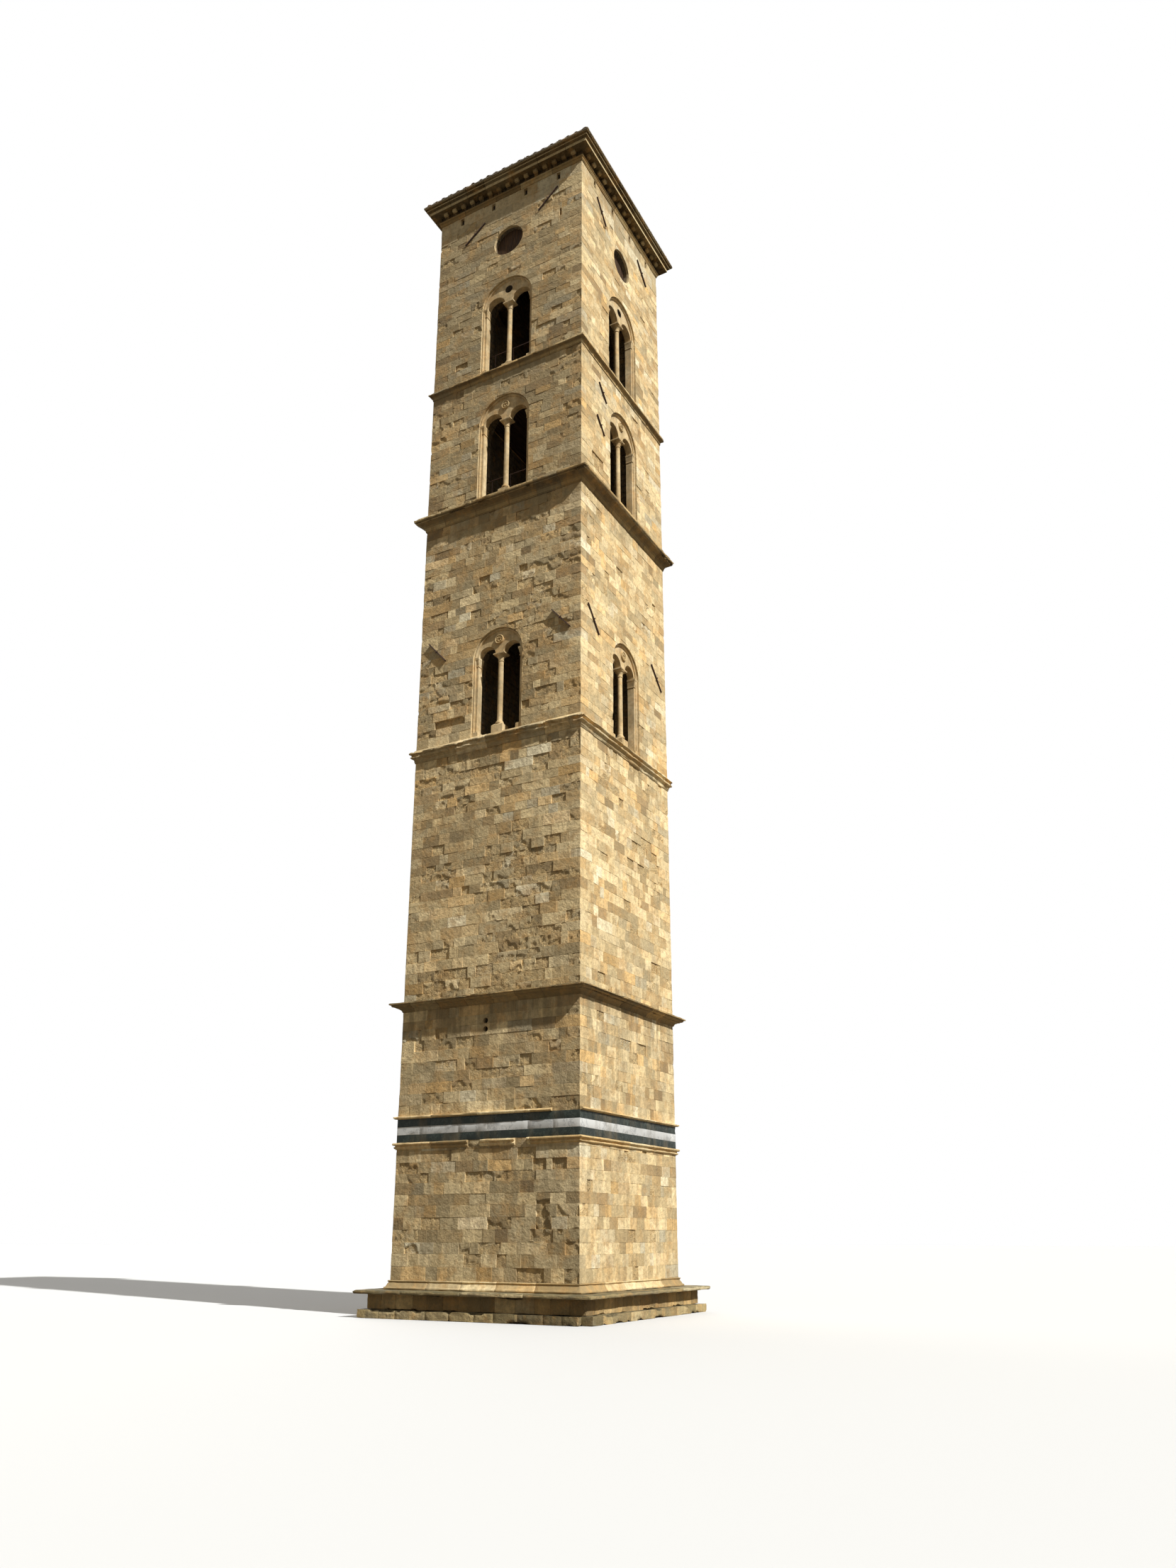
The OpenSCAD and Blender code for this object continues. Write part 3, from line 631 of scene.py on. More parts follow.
# Stones picked out on the front, as (low u, high u, height, kind, tone, recess)
FRONT_STONES = (
    (1.05, 1.85, 1.1, "sunk", 0.1, 0.03), (0.45, 0.75, 1.4, "sunk", 0.0, 0.012),
    (1.6, 2.0, 2.3, "worn", 0.2, 0.05), (1.6, 2.0, 2.6, "worn", 0.2, 0.05),
    (1.6, 2.0, 2.9, "worn", 0.2, 0.04), (2.05, 2.5, 2.3, "plain", 0.8, 0.0),
    (1.48, 1.88, 3.74, "sunk", 0.25, 0.04), (2.05, 2.48, 3.74, "sunk", 0.25, 0.045),
    (0.3, 0.7, 12.48, "proud", 0.5, 0.0),
    (1.3, 1.7, 12.48, "proud", 0.45, 0.0), (-2.2, -1.65, 16.55, "sunk", 0.15, 0.07),
    (-1.65, -1.1, 16.6, "worn", 0.3, 0.07), (-2.1, -1.7, 17.4, "worn", 0.75, 0.07),
    (0.88, 1.14, 16.75, "sunk", 0.66, 0.05), (0.7, 1.0, 21.15, "sunk", 0.6, 0.06),
    (-0.75, -0.35, 21.15, "sunk", 0.6, 0.045), (2.1, 2.6, 19.2, "worn", 0.6, 0.06),
    (1.0, 1.7, 34.15, "worn", 0.78, 0.02), (-2.18, -1.32, 33.6, "proud", 0.9, 0.0),
    (0.0, 0.52, 32.85, "worn", 0.8, 0.03), (2.00, 2.08, 34.41, "sunk", 0.0, 0.07),
    (2.3, 2.6, 34.6, "worn", 0.8, 0.03), (-2.0, -1.5, 29.65, "worn", 0.35, 0.05),
)


def new_stone(u0, u1, z0, z1, rng):
    return SimpleNamespace(u0=u0, u1=u1, z0=z0, z1=z1, kind="plain", recess=0.0, seed=rng.random() * 90)


def stones_of(side, storey, openings):
    """Every stone of one face of one storey."""
    rng = random.Random(f"stones {SIDES[side]} {storey}")
    spread = 1.4 if storey in (1, 2) else 1.15
    slope = 0.07 if (side, storey) == (0, 4) else 0.0
    stones, below = [], []
    for number, (z0, z1) in enumerate(courses_of(storey)):
        row = storey * 40 + number
        z_mid = 0.5 * (z0 + z1)
        places = joints_of(side, row, below, z_mid, openings)
        picked = [s for s in FRONT_STONES if side == 0 and z0 <= s[2] < z1]
        for u0, u1, *_ in picked:
            places = [p for p in places if not u0 - 0.12 < p < u1 + 0.12] + [u0, u1]
        below = [-HALF] + sorted(places) + [HALF]
        for u0, u1 in zip(below, below[1:]):
            mid = 0.5 * (u0 + u1)
            stone = new_stone(u0, u1, z0, z1, rng)
            tone_of = rng
            at_corner = u0 <= -HALF or u1 >= HALF
            if at_corner:
                tone_of = random.Random(f"tone {(side if u1 >= HALF else side - 1) % 4} {row}")
            stone.tone = unit(tone_of.triangular(-0.05, 1.0, 0.42 if side != 1 else 0.5))
            value = MIDDLE_VALUE + spread * (tone_of.triangular(0.05, 0.85, MIDDLE_VALUE) - MIDDLE_VALUE)
            stone.value = unit(value + VALUE_AND_LIGHT_SHIFT[side][storey] + slope * mid)
            if z_mid > TALL_Z:
                stone.tone, stone.value = tone_of.choice((0.84, 0.9, 0.95, 0.4)), tone_of.uniform(0.35, 0.75)
            stone.offset = rng.uniform(-0.003, 0.005)
            stone.tilt = rng.gauss(0.0, 0.010), rng.gauss(0.0, 0.014)
            drift = noise.noise(Vector((mid * 0.55 + 11 * side, z_mid * 0.42, 3.0 + storey)))
            chance = SPALL_SHARE[side][storey] * (1.0 + 2.6 * drift)
            draw, second = rng.random(), rng.random()
            if draw < chance:
                stone.kind = "sunk" if second < 0.4 else "worn"
                stone.recess = rng.uniform(0.010, 0.030)
            for a, b, _, kind, tone, recess in picked:
                if a <= mid <= b:
                    stone.kind, stone.tone, stone.recess = kind, tone, recess
            if stone.kind == "proud":
                stone.kind, stone.offset = "plain", -0.012
            if at_corner and stone.kind == "sunk":
                stone.kind = "worn"
            stones.append(stone)
    return stones


def washed_out(side, u, z):
    """Share by which the mortar has gone from the joints, in patches."""
    return step_between(noise.noise(Vector((u * 1.3 + 7.0 * side, z * 1.3, 20.0))), 0.1, 0.5)


def joint_depth(side, u, z):
    """Depth of the joints, mostly thin but washed out in places."""
    depth = 0.0016 + 0.016 * washed_out(side, u, z) + 0.0022 * noise.noise(Vector((u * 9, z * 9, side)))
    return max(0.0006, depth)


def corner_wear(corner, z):
    """How far the arris of a corner is worn back, the same for the two faces that meet there."""
    slow = noise.noise(Vector((z * 1.6, 31.0 * corner, 4.0)))
    chips = noise.noise(Vector((z * 5.2, 17.0 * corner, 9.0)))
    return 0.005 + 0.010 * max(0.0, slow) + 0.028 * step_between(chips, 0.3, 0.6)


def surface_depth(stone, side, u, z):
    """(how far the stone's surface lies behind the wall face, how far it is spalled)."""
    p = Vector((u + 13.0 * side, z, stone.seed))
    tilt_u, tilt_z = stone.tilt
    lean = tilt_u * (u - 0.5 * (stone.u0 + stone.u1)) + tilt_z * (z - 0.5 * (stone.z0 + stone.z1))
    depth = stone.offset + lean + 0.003 * noise.noise(p * 3.1) + 0.002 * noise.noise(p * 11)
    spall = 0.0
    if stone.kind == "sunk":
        spall = 1.0
    elif stone.kind == "worn":
        low = step_between(0.45 - (z - stone.z0) / (stone.z1 - stone.z0), -0.6, 0.6) - 0.5
        spall = step_between(noise.noise(p * 4.2) + 0.55 * low, -0.16, 0.02)
    if spall:
        lumps = 0.006 * noise.noise(p * 6.1) + 0.010 * noise.noise(p * 14.3) + 0.014 * noise.noise(p * 26)
        depth += spall * max(0.004, stone.recess + lumps)
    return depth, spall


def corner_ends(stone, reach):
    """Signs of the ends at which the stone stands at a corner of the shaft."""
    return [sign for sign, end in ((-1, -stone.u0), (1, stone.u1)) if end >= reach - 1e-4]


def lay_stones(stones, side, reach=HALF, thick=FACING):
    """Closed facing stones of one side, built as on the front."""
    bm = bmesh.new()
    number = bm.verts.layers.int.new("number")
    for index, stone in enumerate(stones):
        width, height = stone.u1 - stone.u0 - 2 * GAP, stone.z1 - stone.z0 - 2 * GAP
        plain = stone.kind == "plain"
        cell = COARSE if plain else FINE
        across = max(1, round(width / cell))
        up = max(1 if plain and height < 0.16 else 2, round(height / cell))
        middle = Vector((0.5 * (stone.u0 + stone.u1), -reach, 0.5 * (stone.z0 + stone.z1)))
        place = Matrix.Translation(middle) @ UPRIGHT @ Matrix.Diagonal((width, height, 1, 1))
        made = bmesh.ops.create_grid(bm, x_segments=across, y_segments=up, size=0.5, matrix=place)
        for vert in made["verts"]:
            vert[number] = index
    bmesh.ops.inset_region(bm, faces=bm.faces[:], thickness=JOINT, use_even_offset=True, use_boundary=True)
    marks = {}
    for vert in bm.verts:
        stone = stones[vert[number]]
        u, z = vert.co.x, vert.co.z
        depth, spall = surface_depth(stone, side, u, z)
        rim = vert.is_boundary
        for sign in corner_ends(stone, reach):
            if u * sign > reach - 1.5 * JOINT:
                wear = corner_wear(side if sign > 0 else (side - 1) % 4, z)
                at_corner = u * sign > reach - 0.3 * JOINT
                u = sign * (reach - wear - (0.0 if at_corner else JOINT))
                depth = wear if at_corner else 0.25 * wear + min(depth, 0.004)
                spall *= 0.3
                rim = rim and not at_corner
        if rim:
            depth += joint_depth(side, u, z)
        vert.co = (u, -reach + min(depth, thick - 0.006), z)
        marks[vert] = (spall, 0.2 + 0.8 * washed_out(side, u, z) if rim else 0.0)
    made = bmesh.ops.extrude_edge_only(bm, edges=[edge for edge in bm.edges if edge.is_boundary])
    for vert in new_verts(made):
        vert.co.y = thick - reach
        for sign in corner_ends(stones[vert[number]], reach):
            if vert.co.x * sign > reach - 0.06:
                vert.co.x = sign * (reach - thick)
        marks[vert] = (0.5, 0.3)
    closed(bm)
    paint(bm, lambda face, vert: (stones[vert[number]].tone, *marks[vert], stones[vert[number]].value))
    return bm


def before_wall(u, z):
    """Place of a cutter, upright before the front."""
    return Matrix.Translation((u, -HALF - 0.1, z)) @ UPRIGHT


def as_cutter(bm):
    deepened(bm, 0.28)
    paint(bm, (0.5, 0.0, 0.0, 0.45))
    return bm


def recess_opening(u_half, floor, spring):
    """Arched recess of a window, as its box and a cutter that reaches below its floor."""
    sill = floor - 0.1
    bm = bmesh.new()
    bmesh.ops.create_circle(bm, cap_ends=True, segments=96, radius=u_half, matrix=before_wall(0, spring))
    for vert in bm.verts:
        if vert.co.z < spring - 1e-4:
            vert.co.z = sill
            if abs(vert.co.x) > 0.6 * u_half:
                vert.co.x = math.copysign(u_half, vert.co.x)
    bmesh.ops.remove_doubles(bm, verts=bm.verts, dist=1e-4)
    return (floor, spring + u_half, -u_half, u_half), as_cutter(bm)


def round_opening(u, z, radius):
    bm = bmesh.new()
    bmesh.ops.create_circle(bm, cap_ends=True, segments=72, radius=radius, matrix=before_wall(u, z))
    return (z - radius, z + radius, u - radius, u + radius), as_cutter(bm)


def square_opening(u, z0, z1, width):
    bm = bmesh.new()
    place = before_wall(u, 0.5 * (z0 + z1)) @ Matrix.Diagonal((width, z1 - z0, 1, 1))
    bmesh.ops.create_grid(bm, x_segments=1, y_segments=1, size=0.5, matrix=place)
    return (z0, z1, u - width / 2, u + width / 2), as_cutter(bm)


def openings_in(side, storey):
    """Openings of one wall as ((low z, high z, low u, high u), cutter)."""
    found = []
    if storey >= 2:
        found.append(recess_opening(RECESS[storey - 2], STOREYS[storey][0], SPRING[storey - 2]))
    if storey == 4:
        found.append(round_opening(0.0, OCULUS_Z, OCULUS_R))
        found += [square_opening(u, *PUTLOG_Z, PUTLOG_W) for u in PUTLOG_U]
    if storey == 0 and side == 0:
        found += [round_opening(DRAIN_U, z, DRAIN_R) for z in DRAIN_Z]
    return found


def inside_window(stone, storey):
    """True for a stone that lies wholly inside the arched recess."""
    if storey < 2:
        return False
    a, spring = RECESS[storey - 2], SPRING[storey - 2]
    corners = [(u, z) for u in (stone.u0, stone.u1) for z in (stone.z0, stone.z1)]
    return all(abs(u) <= a and (z <= spring or math.hypot(u, z - spring) <= a) for u, z in corners)


def carved(bm, cutters):
    """The bmesh less every cutter."""
    block = shown("stones_to_cut", as_mesh(bm, "stones_to_cut"))
    tools = [shown("cutter", as_mesh(cutter, "cutter")) for cutter in cutters]
    for tool in tools:
        cut = block.modifiers.new("cut", "BOOLEAN")
        cut.operation, cut.solver, cut.object = "DIFFERENCE", "EXACT", tool
    bpy.context.view_layer.update()
    result = bmesh.new()
    result.from_mesh(block.evaluated_get(bpy.context.evaluated_depsgraph_get()).to_mesh())
    for item in [block, *tools]:
        data = item.data
        bpy.data.objects.remove(item)
        bpy.data.meshes.remove(data)
    return result


def wall_core(node):
    """The wall behind the facing stones."""
    bm = merged_copy(node)
    for vert in bm.verts:
        for axis in (0, 1):
            if abs(abs(vert.co[axis]) - HALF) < 1e-4:
                vert.co[axis] = math.copysign(HALF - FACING, vert.co[axis])
    paint(bm, (0.4, 0.6, 0.0, 0.35))
    for face in bm.faces:
        face.material_index = 1
    return bm


def build_wall(side, storey):
    """Facing stones of one wall, cut to its openings, on the wall behind them."""
    openings = openings_in(side, storey)
    boxes, cutters = [box for box, _ in openings], [cutter for _, cutter in openings]
    stones = [s for s in stones_of(side, storey, boxes) if not inside_window(s, storey)]

    def met(stone):
        return any(
            stone.u0 < u1 + 0.01 and stone.u1 > u0 - 0.01 and stone.z0 < z1 + 0.01 and stone.z1 > z0 - 0.01
            for z0, z1, u0, u1 in boxes
        )

    parts = [lay_stones([s for s in stones if not met(s)], side)]
    beside = [s for s in stones if met(s)]
    if beside:
        parts.append(carved(lay_stones(beside, side), cutters))
    node = f"{SIDES[side]}_wall_{storey + 1}"
    parts = [turned(part, to_side(side)) for part in parts] + [wall_core(node)]
    finished(joined(parts), f"{node}_masonry", [wall_stone, inner_stone], [node], sharp=14)


for storey in range(5):
    for side in range(4):
        build_wall(side, storey)


# Marble band
def band_slabs(kind, rows, lengths, material, node):
    """Slabs of one marble on the four sides, in rows of (low, high)."""
    reach = HALF + SLAB_PROUD
    parts = []
    for side in range(4):
        slabs = []
        for z0, z1 in rows:
            rng = random.Random(f"{kind} {side} {z0:.2f}")
            places = [-reach]
            while HALF - places[-1] > 0.45:
                places.append(places[-1] + rng.uniform(*lengths))
            places = [p for p in places if p < HALF - 0.3] + [reach]
            for u0, u1 in zip(places, places[1:]):
                slab = new_stone(u0, u1, z0, z1, rng)
                slab.tone, slab.value = rng.random(), rng.random()
                slab.offset, slab.tilt = rng.uniform(0.0, 0.002), (0.0, 0.0)
                slabs.append(slab)
        parts.append(turned(lay_stones(slabs, side, reach, SLAB_THICK), to_side(side)))
    finished(joined(parts), f"{kind}_marble_slabs", [material], [node])


band_slabs("white", [WHITE_Z], (0.7, 1.5), white_marble, "white_marble_course")
band_slabs(
    "dark", [(BAND_Z[0], WHITE_Z[0]), (WHITE_Z[1], BAND_Z[1])], (0.6, 1.3), dark_marble, "dark_marble_courses"
)


# Moulded courses
def reach_of(point):
    """How far a point lies outside the shaft."""
    return max(abs(point.x), abs(point.y)) - HALF


def side_of(x, y):
    """Number of the side that a point belongs to."""
    if abs(y) > abs(x):
        return 0 if y < 0 else 2
    return 1 if x > 0 else 3


# How far the crown is drawn in, and how far that draws it up
CROWN_INSET = 0.0285
CROWN_RISE = 1.31


def deeper_crown(place):
    """Draws the upper half of the crown in and up and squares its lower fillet, for the sun to reach both."""
    reach, z = reach_of(place), place.z - ARCHITRAVE_TOP
    if reach < 0.27 or z > 0.2:
        return place
    if z < 0.0945 and reach < 0.42:
        inward = min(CROWN_INSET * (reach - 0.303) / 0.11, reach - 0.318)
    else:
        inward = CROWN_INSET * (1.0 - step_between(z, 0.115, 0.205))
    whole = reach + HALF
    x, y = (c * (whole - inward) / whole if abs(c) > whole - 0.003 else c for c in (place.x, place.y))
    lift = 0.02 if 0.1 < z else (-0.025 if z < 0.01 else 0.0)
    return Vector((x, y, place.z + CROWN_RISE * max(0.0, inward) + lift))


def course_cuts(joints, reach, pitch):
    """Places of the upright cuts of a course: at its joints, at their lips, and at a pitch between them."""
    cuts = {-reach, reach}
    for joint in joints:
        cuts |= {joint - 0.012, joint, joint + 0.012}
    cuts = sorted(cuts)
    fill = []
    for a, b in zip(cuts, cuts[1:]):
        count = math.ceil((b - a) / pitch)
        fill += [a + (b - a) * k / count for k in range(1, count)]
    return sorted(cuts[1:-1] + fill)


def worn_by(place, sharp, wear, chips, share):
    """How far wear, breaks and strata draw a point of a course in, by how sharp its edge is."""
    rough = noise.noise(place * 2.3) * 0.6 + noise.noise(place * 7.1) * 0.4
    least = 0.34 - 0.14 * share
    breaks = (
        noise.noise(place * Vector((1.7, 1.7, 3.0)))
        + 0.35 * noise.noise(place * Vector((5.0, 5.0, 14.0)))
        + 0.45 * noise.noise(place * 11.0)
    )
    worn = wear * (0.35 + 0.65 * sharp) * (0.7 + rough)
    broken = chips * share * step_between(breaks, least, least + 0.3) * (0.25 + 0.75 * sharp)
    return worn + broken + wear * share * noise.noise(place * Vector((3.0, 3.0, 34.0)))


def worn_course(
    node, lengths, wear, chips, material, pitch=0.11, lift=0.07, name=None, by_side=(1, 1, 1, 1),
    soot=None, reshape=None, painted_lit_fillets=False,
):
    """Copy of a CAD moulding cut into its stones, with open joints, worn arrises and broken edges."""
    name = name or f"{node}_stones"
    bm = merged_copy(node)
    if reshape:
        for vert in bm.verts:
            vert.co = reshape(vert.co)
    low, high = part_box(node)
    rng = random.Random(name)
    joints = [-high.x + rng.uniform(*lengths)]
    while high.x - joints[-1] > lengths[0] + lengths[1] * 0.6:
        joints.append(joints[-1] + rng.uniform(*lengths))
    planes = course_cuts(joints, high.x, pitch)
    for axis in (Vector((1, 0, 0)), Vector((0, 1, 0))):
        for place in planes:
            bisected(bm, axis * place, axis)
    levels = max(1, round((high.z - low.z) / lift))
    for k in range(1, levels):
        bisected(bm, (0, 0, low.z + (high.z - low.z) * k / levels), (0, 0, 1))
    bm.normal_update()
    moves, marks = {}, {}
    for vert in bm.verts:
        x, y, reach = vert.co.x, vert.co.y, reach_of(vert.co)
        along = x if abs(y) > abs(x) else y
        sharp = step_between(vert.calc_shell_factor(), 1.02, 1.25)
        amount = worn_by(vert.co, sharp, wear, chips, by_side[side_of(x, y)])
        amount = max(0.0, min(amount, 0.62 * max(reach, 0.0)))
        at_joint = reach > -0.001 and min(abs(along - joint) for joint in joints) < 1e-3
        if at_joint:
            amount += 0.009
        moves[vert] = -amount * vert.normal
        marks[vert] = (step_between(amount, 0.012, 0.05), float(at_joint))
    for vert, move in moves.items():
        vert.co += move

    def stone_at(face):
        middle = face.calc_center_median()
        side = side_of(middle.x, middle.y)
        index = bisect(joints, middle.y if side % 2 else middle.x)
        if index in (0, len(joints)):
            side = (middle.x > 0) + 2 * (middle.y > 0) + 10
            index = 0
        draw = random.Random(f"{name} {side} {index}")
        # Upright faces of the crown get pale tones and high values: painted sunlight on its fillets
        if painted_lit_fillets and abs(face.normal.z) < 0.2:
            return draw.uniform(0.85, 1.0), draw.uniform(0.7, 1.0)
        return draw.random(), draw.uniform(0.2, 0.9)

    picked = {face: stone_at(face) for face in bm.faces}
    # soot marks, written into the joint mark: painted shade on undersides and in the frieze, and dark growth
    # on top arrises
    shade_and_growth = {face: soot(face.calc_center_median(), face.normal) if soot else 0.0 for face in bm.faces}

    def mark(face, vert):
        (tone, value), (spall, joint) = picked[face], marks[vert]
        return tone, spall, max(joint, shade_and_growth[face]), value

    paint(bm, mark)
    finished(bm, name, [material], [node], sharp=32)


def cornice_growth_and_shade(node, share=1.0):
    """Dark growth along the top arris of a cornice, and painted shade under its lip."""
    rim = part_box(node)[1].z - 0.05
    return lambda p, normal: share * max(0.85 * step_between(-normal.z, 0.15, 0.8), 0.8 * (p.z > rim))


worn_course(
    "cornice_1", (0.7, 1.3), 0.012, 0.05, weathered_stone,
    soot=cornice_growth_and_shade("cornice_1", 0.4),
)
worn_course(
    "string_course_2", (0.55, 1.1), 0.018, 0.07, moulded_stone,
    pitch=0.07, lift=0.045, by_side=(2.2, 0.9, 1.0, 1.0),
)
worn_course(
    "cornice_3", (0.8, 1.5), 0.013, 0.06, weathered_stone,
    pitch=0.09, by_side=(1.5, 1.0, 1.0, 1.0), soot=cornice_growth_and_shade("cornice_3"),
)
worn_course(
    "string_course_4", (0.6, 1.2), 0.012, 0.05, weathered_stone,
    soot=cornice_growth_and_shade("string_course_4"),
)
# The frieze between the brackets is painted dark: painted shade of the crown's overhang
worn_course(
    "architrave", (0.7, 1.3), 0.001, 0.005, crown_stone,
    pitch=0.2, lift=0.5, soot=lambda p, normal: float(p.z > ARCHITRAVE_TOP - FRIEZE),
)
# Undersides of the crown are painted dark as painted shade
worn_course(
    "crown_cornice", (0.7, 1.1), 0.001, 0.006, crown_stone,
    pitch=0.2, lift=0.5, soot=lambda p, normal: 0.72 * step_between(-normal.z, 0.35, 0.8),
    reshape=deeper_crown, painted_lit_fillets=True,
)
worn_course(
    "band_mouldings", (0.9, 1.7), 0.008, 0.03, moulded_stone, lift=0.2,
    name="band_moulding_stones",
)
worn_course("plinth_moulding", (0.9, 1.7), 0.009, 0.03, moulded_stone, lift=0.08)
worn_course(
    "bench_seat", (1.0, 1.9), 0.010, 0.03, base_stone, lift=0.05, name="bench_seat_slabs"
)
worn_course("bench_riser", (0.35, 0.7), 0.014, 0.035, weathered_stone, 0.08)
worn_course("footing_step", (0.5, 1.1), 0.018, 0.06, base_stone, 0.1, 0.06)


def build_brackets():
    """The short brackets under the crown, with eased arrises, a tone of their own and painted shade where
    they meet the wall.
    """
    bm = merged_copy("brackets")
    edges = [edge for edge in bm.edges if edge.is_manifold and edge.calc_face_angle() > 0.5]
    bmesh.ops.bevel(bm, geom=edges, offset=0.006, segments=1, profile=0.5, affect="EDGES", material=-1)
    stone_layer(bm)
    rng = random.Random("brackets")
    for island in islands(bm):
        tone, value = rng.random(), rng.uniform(0.25, 0.9)
        # The joint mark darkens each bracket within 0.1 m of the wall: painted shade under the soffit
        paint(bm, lambda face, vert: (tone, 0.0, float(reach_of(vert.co) < 0.1), value), island)
    finished(bm, "crown_brackets", [crown_stone], ["brackets"], sharp=30)


build_brackets()

# Roof
DECK_LOW, DECK_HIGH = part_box("roof_deck")
EAVES, EAVES_TOP = DECK_HIGH.x, DECK_LOW.z + 0.06
RISE = DECK_HIGH.z - EAVES_TOP
PITCH = math.atan2(RISE, EAVES)
HIP_RUN = EAVES * math.sqrt(2)
TILE = 0.46
ROW, EXPOSED = 0.316, 0.37


def barrel_tile(wide, narrow, flat):
    """Mesh of a half-round tile along Y, its wide end at the origin."""
    bm = bmesh.new()
    start = bm.verts.new((wide, 0, 0))
    bmesh.ops.spin(bm, geom=[start], cent=(0, 0, 0), axis=(0, 1, 0), angle=-math.pi, steps=6, use_merge=False)
    far = new_verts(bmesh.ops.extrude_edge_only(bm, edges=bm.edges[:]))
    bmesh.ops.scale(bm, vec=(narrow / wide, 1, narrow / wide), verts=far)
    bmesh.ops.translate(bm, vec=(0, TILE, 0), verts=far)
    bmesh.ops.scale(bm, vec=(1, 1, flat), verts=bm.verts[:])
    bmesh.ops.recalc_face_normals(bm, faces=bm.faces[:])
    bmesh.ops.solidify(bm, geom=bm.faces[:], thickness=0.014)
    bmesh.ops.recalc_face_normals(bm, faces=bm.faces[:])
    return as_mesh(bm, "tile")


def add_copy(whole, mesh, matrix, tone, value):
    """Adds a copy of the mesh in its place, painted with one tone."""
    stone_layer(whole)
    verts, faces = len(whole.verts), len(whole.faces)
    whole.from_mesh(mesh)
    whole.verts.ensure_lookup_table()
    whole.faces.ensure_lookup_table()
    bmesh.ops.transform(whole, matrix=matrix, verts=whole.verts[verts:])
    paint(whole, (tone, 0.1, 0.0, value), whole.faces[faces:])


def slope_tiles(side, cover, channel):
    """Rows of cover tiles over rows of channel tiles on one slope, cut along the hips."""
    rng = random.Random(f"tiles {side}")
    slope = Matrix.Translation((0, -EAVES, EAVES_TOP)) @ Matrix.Rotation(PITCH, 4, "X")
    bm = bmesh.new()
    half_rows = int(EAVES / ROW)
    for row in range(-2 * half_rows, 2 * half_rows + 1):
        u = row * ROW / 2
        is_cover = row % 2 == 0
        mesh, start, lift = (cover, 0.075, 0.012) if is_cover else (channel, 0.06, 0.002)
        turn = Matrix.Identity(4)
        if not is_cover:
            turn = Matrix.Translation((0, 0, 0.046)) @ Matrix.Rotation(math.pi, 4, "Y")
        top = (EAVES - abs(u) + 0.1) / math.cos(PITCH)
        place = start + rng.uniform(-0.012, 0.012)
        while place < top:
            lean = Matrix.Rotation(-0.045, 4, "X") @ Matrix.Rotation(rng.gauss(0, 0.02), 4, "Z")
            shift = Matrix.Translation((u + rng.gauss(0, 0.006), place, lift + 0.018 + rng.gauss(0, 0.002)))
            add_copy(bm, mesh, slope @ shift @ lean @ turn, rng.random(), rng.triangular(0, 1, 0.4))
            place += EXPOSED + rng.uniform(-0.01, 0.01)
    for normal in ((1, 1, 0), (-1, 1, 0)):
        bisected(bm, (0, 0, 0), normal, clear=True)
        closed(bm)
    return turned(bm, to_side(side))


def build_roof_tiles():
    """The tiles of the four slopes, and the rows along the hips."""
    sizes = ((0.084, 0.069, 0.78), (0.092, 0.106, 0.45), (0.098, 0.082, 0.9))
    cover, channel, hip = (barrel_tile(*size) for size in sizes)
    for side, name in enumerate(SIDES):
        finished(slope_tiles(side, cover, channel), f"{name}_roof_tiles", [roof_clay], sharp=50)
    bm = bmesh.new()
    rng = random.Random("hips")
    lean = Matrix.Rotation(math.atan2(RISE, HIP_RUN), 4, "X")
    start = Matrix.Translation((0, -HIP_RUN, EAVES_TOP + 0.02)) @ lean
    for corner in range(4):
        place = 0.16
        while place < math.hypot(HIP_RUN, RISE) - 0.1:
            shift = Matrix.Translation((rng.gauss(0, 0.006), place, 0.02)) @ Matrix.Rotation(-0.05, 4, "X")
            add_copy(bm, hip, to_side(corner + 0.5) @ start @ shift, rng.random(), rng.triangular(0, 1, 0.4))
            place += EXPOSED
    finished(bm, "hip_tiles", [roof_clay], sharp=50)
    for mesh in (cover, channel, hip):
        bpy.data.meshes.remove(mesh)


def build_apex():
    """Lump of mortar where the hips meet."""
    outline = ((0.27, -0.06), (0.22, 0.06), (0.13, 0.13), (0.06, 0.15), (0, 0.16))
    cap = lathed([(r, 0, z) for r, z in outline], (0, 0, 1), 20)
    for vert in cap.verts:
        vert.co += vert.co.normalized() * 0.02 * noise.noise(vert.co * 9)
    bmesh.ops.translate(cap, vec=(0, 0, DECK_HIGH.z + 0.05), verts=cap.verts[:])
    paint(cap, (0.4, 0.3, 0.0, 0.4))
    finished(cap, "apex_mortar", [deck_mortar])


build_roof_tiles()
build_apex()


# Boards that close the round openings
def build_oculus_boards():
    """Upright boards, a little out of true, cut to the round opening."""
    boards = []
    lean = Matrix.Rotation(math.radians(14), 4, "Y")
    for side in range(4):
        rng = random.Random(f"boards {side}")
        edges = [-OCULUS_R]
        while OCULUS_R - edges[-1] > 0.2:
            edges.append(edges[-1] + rng.uniform(0.13, 0.18))
        edges.append(OCULUS_R)
        for a, b in zip(edges, edges[1:]):
            board = bmesh.new()
            radius = OCULUS_R - 0.002
            bmesh.ops.create_circle(board, cap_ends=True, segments=64, radius=radius, matrix=UPRIGHT)
            bisected(board, (a + 0.003, 0, 0), (-1, 0, 0), clear=True)
            bisected(board, (b - 0.003, 0, 0), (1, 0, 0), clear=True)
            deepened(board, 0.03)
            shift = Matrix.Translation((0, OCULUS_LOW.y + rng.uniform(0.0, 0.012), OCULUS_Z))
            turned(board, to_side(side) @ shift @ lean)
            tone = rng.random()
            paint(board, (tone, 0.0, 0.0, tone))
            boards.append(board)
    finished(joined(boards), "oculus_planks", [board_timber_painted_shade], ["oculus_boards"])


build_oculus_boards()


